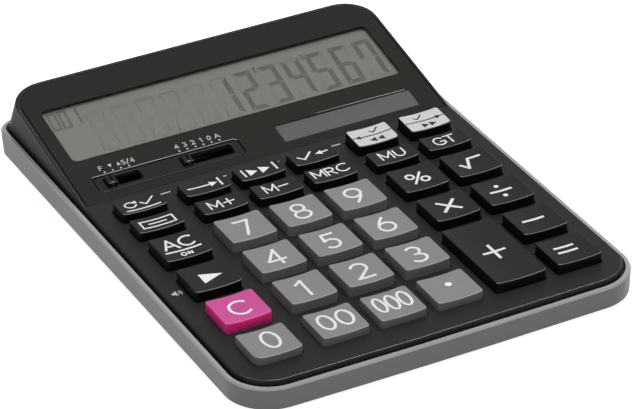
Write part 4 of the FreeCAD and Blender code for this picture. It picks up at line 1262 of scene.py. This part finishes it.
# The bars of a seven segment digit: a on top, then clockwise to f, and g in the middle.
SEGMENTS = {
    "0": "abcdef", "1": "bc", "2": "abged", "3": "abgcd", "4": "fgbc", "5": "afgcd", "6": "afgedc",
    "7": "fabc", "8": "abcdefg", "9": "abcdfg",
}
# Each bar's first and last end as column and row, and the direction of its outer side.
SEGMENT_ENDS = {
    "a": ((0, 2), (1, 2), (0, 1)), "b": ((1, 1), (1, 2), (1, 0)), "c": ((1, 0), (1, 1), (1, 0)),
    "d": ((0, 0), (1, 0), (0, -1)), "e": ((0, 0), (0, 1), (-1, 0)), "f": ((0, 1), (0, 2), (-1, 0)),
    "g": ((0, 1), (1, 1), (0, 1)),
}
# The mitre at a bar's end: places along and aside of the bar, in shares of its width.
MITRES = {
    "middle": ((0.5, 0.5), (0.0, 0.0), (0.5, -0.5)),
    "waist": ((0.12, 0.5), (0.10, 0.0), (0.52, -0.5)),
    "corner": ((-0.40, 0.38), (-0.30, 0.5), (0.5, -0.5)),
}


def segment_outlines(names, x, y, height, width, bar):
    """Mitred outlines of a digit's named segments, with its lower left corner at a point."""
    lean = math.tan(settings("display").lean)
    rows = (0.0, height * 0.52, height)
    outlines = []
    for name in names:
        start, end, (aside_x, aside_y) = SEGMENT_ENDS[name]
        level = start[1] == end[1]
        outline = []
        for (column, row), way in ((start, 1), (end, -1)):
            kind = "middle" if name == "g" else "waist" if row == 1 else "corner"
            for along, aside in MITRES[kind][::way]:
                px = column * width + (way * along * bar if level else aside_x * aside * bar)
                py = rows[row] + (aside_y * aside * bar if level else way * along * bar)
                outline.append((x + px + py * lean, y + py))
        outlines.append(facing_up(outline))
    return outlines


# The display's twelve places with the number they show; the left side of the first shown digit, and
# all digits' foot and width.
SHOWN = "     1234567"
DIGIT_LEFT = -2.36
DIGIT_FOOT = 25.06
DIGIT_WIDTH = 4.87
# The counter's digits, their lower left corner and pitch, and their height, width and bar.
COUNTER = "001"
COUNTER_PLACE = (-59.67, 39.66)
COUNTER_PITCH = 3.8
COUNTER_SIZE = (8.2, 2.4, 0.95)
# The places of the commas over the digits, and a comma's outline.
COMMAS = (14.78, 32.96)
COMMA = ((-0.1, 41.66), (0.6, 41.66), (1.4, 44.56), (0.3, 44.56))
# The sides of the display's visible ground.
GROUND = (-61.45, 21.7, 61.45, 50.9)


class CALCULATOR_OT_display(bpy.types.Operator):
    """Set dark digits on the display's grey-green ground"""
    bl_idname = "calculator.display"
    bl_label = "Display"

    def execute(self, context):
        display = settings("display")
        dress_node("lcd_ribbon", "ribbon")
        add_softened("lcd_cradle", "lcd_holder", 0.2, "holder_white", "white_plastic")
        low, high = node_corners("lcd_glass", display_matrix())
        add_plate("lcd_ground", node_outline("lcd_glass", 0.0, 0.1, 2), [], low.z, high.z, "reflector",
                  "lcd", "case", "lcd_glass")
        outline = placed_outline(*GROUND, [0.5] * 4, 2)
        add_plate("lcd_face", outline, [], high.z + 0.01, LCD_FACE, "reflector", "lcd", "case")
        lit = []
        faint = []
        for place, digit in enumerate(SHOWN):
            names = SEGMENTS.get(digit, "")
            other = [name for name in "abcdefg" if name not in names]
            left = DIGIT_LEFT + display.digit_pitch / MM * (place - SHOWN.count(" "))
            where = (left, DIGIT_FOOT, display.digit_height / MM, DIGIT_WIDTH, display.bar / MM)
            lit += segment_outlines(names, *where)
            faint += segment_outlines(other, *where)
        small = []
        x, y = COUNTER_PLACE
        for number, digit in enumerate(COUNTER):
            small += segment_outlines(SEGMENTS[digit], x + COUNTER_PITCH * number, y, *COUNTER_SIZE)
        lit += [[(comma + across, up) for across, up in COMMA] for comma in COMMAS]
        for name, outlines, finish in (("lcd_digits", lit, "ink_digit"),
                                       ("lcd_counter", small, "ink_small"),
                                       ("lcd_ghosts", faint, "ink_ghost")):
            mesh = flat_shapes(name, outlines, settings("print").thickness * 0.5)
            mesh.transform(Matrix.Translation((0, 0, LCD_FACE * MM)))
            add_piece(name, on_display(mesh), finish, "lcd", "case")
        return {"FINISHED"}


class CALCULATOR_OT_solar(bpy.types.Operator):
    """Give the solar cell its film with fine cell lines"""
    bl_idname = "calculator.solar"
    bl_label = "Solar cell"

    def execute(self, context):
        add_softened("solar_strip", "solar_cell", 0.0, "solar", "solar")
        add_plate("solar_front", node_outline("solar_window", -0.1, 0.1, 2), [], SOLAR_FACE - 0.3,
                  SOLAR_FACE, "solar", "solar", "case")
        return {"FINISHED"}


def key_names():
    """The keys' names, in the frame's order."""
    return [node.removeprefix("key_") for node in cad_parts
            if node.startswith("key_") and node != "key_mat"]


class CALCULATOR_OT_key_caps(bpy.types.Operator):
    """Mould every key cap with a dished top and rounded edges"""
    bl_idname = "calculator.key_caps"
    bl_label = "Key caps"

    def execute(self, context):
        for name in key_names():
            finish, slot = key_finish(name)
            # Painted light: the clear key's sides take a brighter magenta.
            third = "key_magenta_flank" if name == "clear" else "key_white"
            # Each cap's rounded front edges take the paler edge finish, a painted highlight.
            add_piece("cap_" + name, cap_mesh(KeyForm(name)), (finish, finish + "_edge", third), slot,
                      "key_" + name, "key_" + name)
        return {"FINISHED"}


class CALCULATOR_OT_key_legends(bpy.types.Operator):
    """Print every key's legend on its dished top"""
    bl_idname = "calculator.key_legends"
    bl_label = "Key legends"

    def execute(self, context):
        for name in key_names():
            form = KeyForm(name)
            add_print("legend_" + name, *key_marks(name), form.on_top, key_finish(name)[1],
                      "key_" + name)
        return {"FINISHED"}


# The distance between a switch's places, and where the two scales start.
SWITCH_STEP = 2.94
MODE_LEFT = -53.9
DECIMAL_LEFT = -26.8


class CALCULATOR_OT_panel_print(bpy.types.Operator):
    """Print the switch scales, the speaker mark and the dashes between the upper keys, and paint
    highlight lines at the switch field's and the solar window's far edges
    """
    bl_idname = "calculator.panel_print"
    bl_label = "Panel print"

    def execute(self, context):
        on_keyboard = on_plane(panel_matrix(), settings("case").rise / MM)
        on_slope = on_plane(display_matrix())
        dashes = [level_stroke(-41.9, -38.9, 118.4), level_stroke(-19.4, -18.6, 118.6),
                  level_stroke(-0.4, 0.4, 118.2), level_stroke(20.4, 23.2, 118.4)]
        add_print("panel_dashes", dashes, 0.6, [], "ink_dim", on_keyboard, "black_case")
        horn = [(-64.9, 61.2), (-64.2, 61.2), (-63.3, 60.4), (-63.3, 63.2), (-64.2, 62.4),
                (-64.9, 62.4)]
        waves = [round_stroke(-63.2, 61.8, 0.8, 0.9, -50, 50, 6),
                 round_stroke(-63.2, 61.8, 1.5, 1.6, -50, 50, 8)]
        add_print("speaker_mark", waves, 0.3, [horn], "ink_dim", on_keyboard, "black_case")
        dots = []
        for left, y, count in ((MODE_LEFT, 13.2, 4), (DECIMAL_LEFT, 13.5, 6)):
            dots += [circle(left + SWITCH_STEP * number, y, 0.36, 12) for number in range(count)]
        down = [(-51.6, 16.3), (-50.9, 14.7), (-50.2, 16.3)]
        up = [(-48.7, 14.7), (-47.3, 14.7), (-48.0, 16.3)]
        marks = word_strokes("F", 1.9, -54.4, 15.4) + word_strokes("5/4", 2.0, -44.6, 15.4)
        for number, letter in enumerate("43210A"):
            marks += word_strokes(letter, 1.9, DECIMAL_LEFT + SWITCH_STEP * number, 15.8)
        add_print("switch_scales", marks, 0.36, [*dots, down, up], "ink_dim", on_slope, "black_gloss")
        # Painted highlights: a pale line along the switch field's far edge and round its right corner,
        # and a glint along the solar window's far edge.
        bend = round_stroke(-8.6, 10.05, 2.2, 2.2, 90, 35, 5)
        glint = [(23.5, 13.52), (40.0, 13.32), (57.3, 13.02), (57.3, 13.28), (40.0, 13.60),
                 (23.5, 13.64)]
        add_print("panel_edge_lines", [[(-58.7, 12.25), *bend]], 0.36, [glint], "ink_line", on_slope,
                  "black_gloss")
        return {"FINISHED"}


class CALCULATOR_OT_switches(bpy.types.Operator):
    """Set the switch field in its recess and shape the slide switches' knobs"""
    bl_idname = "calculator.switches"
    bl_label = "Slide switches"

    def execute(self, context):
        slots = []
        end = 2.1
        for name, body, steps in (("mode_switch", "mode_slider", 3),
                                  ("decimal_switch", "decimal_slider", 5)):
            low, high = node_corners(name, display_matrix())
            x = (low.x + high.x) / 2
            # The knob's rounded front edges take a painted highlight.
            add_piece(name + "_knob", self.knob(name, x), ("knob_black", "knob_black_edge"),
                      "black_case", body, name)
            dress_node(name + "_wiper", "brass")
            slots.append(placed_outline(x - end, 6.0, x + steps * SWITCH_STEP + end, 10.8,
                                        [0.15, 0.9, 0.9, 0.15], 4))
        field = holed_plate("switch_field", self.field(0.0), slots, -0.78, -0.14)
        field = softened(on_display(field), "switch_field", 0.12)
        # The field's rounded front edges take a painted highlight.
        add_piece("switch_field", field, ("panel_gloss", "panel_gloss_edge"), "black_gloss", "case")
        # Painted shade: a near-black ring in the groove round the switch field.
        add_plate("field_seam", self.field(0.42), [self.field(0.02)], -0.75, -0.30, "seam_black",
                  "black_gloss", "case")
        return {"FINISHED"}

    def field(self, margin):
        """The outline of the field round both switches, grown by a margin."""
        return placed_outline(-58.96 - margin, 4.34 - margin, -6.84 + margin, 11.66 + margin,
                              [1.76 + margin] * 4)

    def knob(self, name, x):
        """A knob with a narrower grip than its stem, and a grip that is closed at the front."""
        stem_top = -2.3
        grip = 0.84
        mesh = softened_copy(name, 0.14)
        inverse = display_matrix().inverted()
        for vertex in mesh.vertices:
            place = inverse @ vertex.co / MM
            if place.z > stem_top:
                vertex.co = at(display_matrix(), x + (place.x - x) * grip, place.y, place.z)
        wall = placed_outline(x - 0.6, 6.32, x + 0.6, 7.1, [0.05] * 4, 1)
        front = on_display(holed_plate(name + "_front", wall, [], 0.1, 1.14))
        for _ in range(2):
            front.materials.append(None)
        whole = join_meshes(name + "_grip", [mesh, front])
        for face in whole.polygons:
            face.material_index %= 2
        shade_smooth(whole, 32.0)
        return whole


def screw_tree():
    """A node tree that sets a copy of a screw on every point, turned by the tilt and a random spin."""
    if "screw_places" in bpy.data.node_groups:
        return bpy.data.node_groups["screw_places"]
    form, given = node_group("screw_places", (("Screw", "Object"), ("Tilt", "Vector"),
                                              ("Material", "Material")))
    screw = form.node("GeometryNodeObjectInfo", {}, given["Screw"])
    spin = form.node("FunctionNodeRandomValue", {"data_type": "FLOAT_VECTOR"}, Min=(0.0, 0.0, 0.0),
                     Max=(0.0, 0.0, 1.5), Seed=settings("stage").seed)
    instances = form.node("GeometryNodeInstanceOnPoints", {}, Points=given["Geometry"],
                          Instance=screw.outputs["Geometry"], Rotation=given["Tilt"])
    spun = form.node("GeometryNodeRotateInstances", {}, Instances=instances.outputs[0],
                     Rotation=spin.outputs[0], Local_Space=True)
    return form.close(spun.outputs[0], given["Material"])


def screw_mesh(name, shank, head, head_height, reach):
    """A screw with its head below: a domed head with a cross recess and a threaded shank."""
    steps = 28
    pitch = 0.45
    core = shank * 0.86
    rings = [(shank * 0.5, reach), (core, reach - 0.35)]
    for turn in range(int((reach - 0.5) / pitch)):
        z = reach - pitch - pitch * turn
        rings += [(core, z), (shank, z - 0.22)]
    rings += [(shank * 0.9, 0.02), (head, 0.0), (head, -head_height * 0.5),
              (head * 0.86, -head_height * 0.88), (head * 0.6, -head_height)]
    points = []
    for radius, z in rings:
        points += [(x, y, z * MM) for x, y in circle(0.0, 0.0, radius * MM, steps)]
    faces = [list(range(steps))]
    for level in range(len(rings) - 1):
        faces += ring_faces((level + 1) * steps, level * steps, steps)
    rim = (len(rings) - 1) * steps
    arm = head * 0.5
    slot = head * 0.13
    cross = [(slot, slot), (slot, arm), (-slot, arm), (-slot, slot), (-arm, slot), (-arm, -slot),
             (-slot, -slot), (-slot, -arm), (slot, -arm), (slot, -slot), (arm, -slot), (arm, slot)]
    first = len(points)
    count = len(cross)
    for share, depth in ((1.0, 1.0), (0.7, 0.3)):
        points += [(x * share * MM, y * share * MM, -head_height * depth * MM) for x, y in cross]
    faces += ring_faces(first + count, first, count)
    faces.append([first + count + number for number in range(count)])
    mesh = mesh_from(name, points, faces, 40.0)
    with editing(mesh) as form:
        form.verts.ensure_lookup_table()
        loops = (form.verts[rim:rim + steps], form.verts[first:first + count])
        edges = [form.edges.get(pair) for loop in loops for pair in closed_pairs(loop)]
        bmesh.ops.triangle_fill(form, use_beauty=True, edges=edges)
        bmesh.ops.recalc_face_normals(form, faces=form.faces)
    return mesh


def islands(node, matrix):
    """Lowest and highest corners of a node's separate solids, in another frame, in millimetres."""
    form = bmesh.new()
    form.from_mesh(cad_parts[node].data)
    bmesh.ops.remove_doubles(form, verts=form.verts, dist=SAME_PLACE)
    inverse = matrix.inverted()
    left = set(form.verts)
    found = []
    while left:
        stack = [left.pop()]
        group = []
        while stack:
            vertex = stack.pop()
            group.append(inverse @ vertex.co / MM)
            for edge in vertex.link_edges:
                other = edge.other_vert(vertex)
                if other in left:
                    left.remove(other)
                    stack.append(other)
        found.append(extent(group))
    form.free()
    return found


class CALCULATOR_OT_screws(bpy.types.Operator):
    """Cut threads and cross recesses on every screw"""
    bl_idname = "calculator.screws"
    bl_label = "Screws"

    def execute(self, context):
        for node, head_height, matrix in (("case_screws", 1.1, panel_matrix()),
                                          ("board_screws", 0.5, panel_matrix()),
                                          ("holder_screws", 0.5, display_matrix()),
                                          ("cover_screw", 0.5, panel_matrix())):
            found = islands(node, matrix)
            low, high = found[0]
            head = (high.x - low.x) / 2
            # Only the case screws have a wide head, on a thick shank.
            shank = 1.0 if head > 1.7 else 0.75
            mesh = screw_mesh(node + "_one", shank, head, head_height, high.z - low.z - head_height)
            single = add_object(node + "_one", mesh)
            places = bpy.data.meshes.new(node + "_places")
            points = [at(matrix, *((a + b) / 2).xy, a.z + head_height) for a, b in found]
            places.from_pydata(points, [], [])
            mesh = grown_mesh(node + "_form", places, screw_tree(), {
                "Screw": single, "Tilt": tuple(matrix.to_euler()), "Material": finish_named("steel")})
            bpy.data.objects.remove(single)
            shade_smooth(mesh, 40.0)
            add_piece(node + "_turned", mesh, None, "steel", "case", node)
        return {"FINISHED"}


class CALCULATOR_OT_feet(bpy.types.Operator):
    """Round the rubber feet"""
    bl_idname = "calculator.feet"
    bl_label = "Rubber feet"

    def execute(self, context):
        add_softened("rubber_pads", "rubber_feet", 0.3, "foot", "black_rubber", sharp=40.0, segments=3)
        return {"FINISHED"}


class CALCULATOR_OT_key_mat(bpy.types.Operator):
    """Mould the key mat's sheet and its collapsing domes"""
    bl_idname = "calculator.key_mat"
    bl_label = "Key mat"

    def execute(self, context):
        matrix = panel_matrix()
        low, high = node_corners("key_mat", matrix)
        sheet = 0.6
        sheet_top = low.z + sheet
        outline = rounded_outline((high.x - low.x) / 2, (high.y - low.y) / 2, [1.5] * 4, 2, 2, 5)
        middle = (low + high) / 2
        place = [(x + middle.x, y + middle.y) for x, y in outline]
        mesh = flat_shapes("mat_sheet", [place], sheet / 2 * MM)
        lay_on(mesh, on_plane(matrix, sheet_top - sheet / 2))
        add_piece("mat_sheet", mesh, "mat", "mat_rubber", "case", "key_mat")
        # The two domes under the long plus cap stand this far from its middle.
        aside = 10.265
        for name in key_names():
            form = KeyForm(name)
            spots = [form.y] if form.rows == 1 else [form.y + aside, form.y - aside]
            mesh = self.dome("dome_" + name, form.x, spots, sheet_top, high.z, matrix)
            dome = add_piece("dome_" + name, mesh, "mat", "mat_rubber", "case")
            anchor = at(matrix, form.x, form.y, sheet_top)
            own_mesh(dome)
        return {"FINISHED"}

    def dome(self, name, x, spots, low, high, matrix):
        """Round collapsing domes with a thin skirt and a flat head."""
        steps = 20
        profile = [(4.0, 0.0), (3.9, 0.12), (3.3, 0.55), (2.75, 0.75), (2.4, 0.86), (2.2, 1.0),
                   (0.9, 1.0)]
        points = []
        faces = []
        for y in spots:
            first = len(points)
            for radius, share in profile:
                points += [at(matrix, *place, low + (high - low) * share)
                           for place in circle(x, y, radius, steps)]
            faces.append([first + step for step in range(steps)][::-1])
            for level in range(len(profile) - 1):
                base = first + level * steps
                faces += ring_faces(base, base + steps, steps)
            faces.append([base + steps + step for step in range(steps)])
        return mesh_from(name, points, faces, 50.0)


class CALCULATOR_OT_inside(bpy.types.Operator):
    """Finish the board, the button cell, its contacts and the buzzer"""
    bl_idname = "calculator.inside"
    bl_label = "Inside parts"

    def execute(self, context):
        dress_node("main_board", "board")
        add_softened("button_cell", "battery_cell", 0.35, "steel", "steel", sharp=40.0, segments=3)
        dress_node("battery_contacts", "steel")
        add_softened("buzzer_disc", "buzzer", 0.1, "brass", "brass", sharp=40.0)
        return {"FINISHED"}


class CALCULATOR_OT_stage(bpy.types.Operator):
    """Set the pale floor, the soft lamps and the camera"""
    bl_idname = "calculator.stage"
    bl_label = "Stage"

    def execute(self, context):
        stage = settings("stage")
        self.floor(stage)
        self.lamps(context, stage)
        # The photo's camera, as the fit of the calculator's corners and keys gave it.
        camera = bpy.data.cameras.new("camera")
        camera.sensor_width = 36.0
        camera.lens = stage.lens
        camera.shift_x = -0.02238
        camera.shift_y = -0.00079
        camera.clip_start = 0.05
        camera.clip_end = 50.0
        view = add_object("camera", camera)
        turn = Matrix(((0.8857676, 0.2553190, -0.3875925), (-0.4612399, 0.3911983, -0.7963803),
                       (-0.0517056, 0.8841810, 0.4642741)))
        view.matrix_world = Matrix.Translation((-0.432995, -0.906150, 0.537871)) @ turn.to_4x4()
        context.scene.camera = view
        context.scene.view_settings.view_transform = "Standard"
        return {"FINISHED"}

    def floor(self, stage):
        """A wide pale floor that keeps the object's shadow."""
        side = 6.0
        points = [(-side, -side, 0), (side, -side, 0), (side, side, 0), (-side, side, 0)]
        mesh = mesh_from("floor", points, [[0, 1, 2, 3]])
        floor = add_object("floor", mesh)
        finish = Finish("floor")
        soft = finish.noise(60.0, 2.0)
        finish.shade(Base_Color=finish.mix(soft * 0.3, stage.floor, tint(stage.floor, 0.97)),
                     Roughness=0.9, Specular_IOR_Level=0.1)
        glow = finish.node("ShaderNodeEmission", {}, (1.0, 1.0, 1.0, 1.0), 0.92)
        both = finish.node("ShaderNodeAddShader", {}, finish.shader.outputs[0], glow.outputs[0])
        mixed = finish.node("ShaderNodeMixShader", {}, finish.seen(), finish.shader.outputs[0],
                            both.outputs[0])
        finish.join(finish.output, mixed.outputs[0])
        mesh.materials.append(finish.material)

    def lamps(self, context, stage):
        """A large lamp overhead, a softer one at the left, and even light from all round."""
        for name, power, size, place, goal in (
                ("overhead", stage.overhead, 1.0, (0.18, -0.15, 1.3), (0.0, 0.0, 0.0)),
                ("side", stage.side, 0.9, (-1.1, -0.75, 0.75), (0.0, 0.0, 0.02))):
            lamp = bpy.data.lights.new(name, "AREA")
            lamp.energy = power
            lamp.size = size
            aim = (Vector(goal) - Vector(place)).to_track_quat("-Z", "Y")
            add_object(name, lamp).matrix_world = Matrix.Translation(place) @ aim.to_matrix().to_4x4()
        world = bpy.data.worlds.new("sky")
        context.scene.world = world
        world.use_nodes = True
        sky = Finish("sky", world)
        white = (1.0, 1.0, 1.0, 1.0)
        even = sky.node("ShaderNodeBackground", {}, white, stage.sky)
        plain = sky.node("ShaderNodeBackground", {}, white, 1.0)
        mixed = sky.node("ShaderNodeMixShader", {}, sky.seen(), even.outputs[0], plain.outputs[0])
        sky.join(sky.tree.nodes["World Output"].inputs["Surface"], mixed.outputs[0])


OPERATORS = (
    CALCULATOR_OT_case, CALCULATOR_OT_display_panel, CALCULATOR_OT_display, CALCULATOR_OT_solar,
    CALCULATOR_OT_key_caps, CALCULATOR_OT_key_legends, CALCULATOR_OT_panel_print,
    CALCULATOR_OT_switches, CALCULATOR_OT_screws, CALCULATOR_OT_feet, CALCULATOR_OT_key_mat,
    CALCULATOR_OT_inside, CALCULATOR_OT_stage,
)


class CALCULATOR_PT_pieces(bpy.types.Panel):
    """The calculator's sizes, colours and pieces"""
    bl_idname = "CALCULATOR_PT_pieces"
    bl_label = "Calculator"
    bl_space_type = "VIEW_3D"
    bl_region_type = "UI"
    bl_category = "Calculator"

    def draw(self, context):
        for name, group in GROUPS.items():
            box = self.layout.box()
            values = getattr(context.scene, name)
            for key in group.__annotations__:
                box.prop(values, key)
        for operator in OPERATORS:
            self.layout.operator(operator.bl_idname)


def register():
    for item in (*GROUPS.values(), *OPERATORS, CALCULATOR_PT_pieces):
        bpy.utils.register_class(item)
    for name, group in GROUPS.items():
        setattr(bpy.types.Scene, name, PointerProperty(type=group))


def unregister():
    for name in GROUPS:
        delattr(bpy.types.Scene, name)
    for item in reversed((*GROUPS.values(), *OPERATORS, CALCULATOR_PT_pieces)):
        bpy.utils.unregister_class(item)


def main():
    register()
    for operator in OPERATORS:
        group, name = operator.bl_idname.split(".")
        getattr(getattr(bpy.ops, group), name)()


if __name__ == "__main__":
    main()
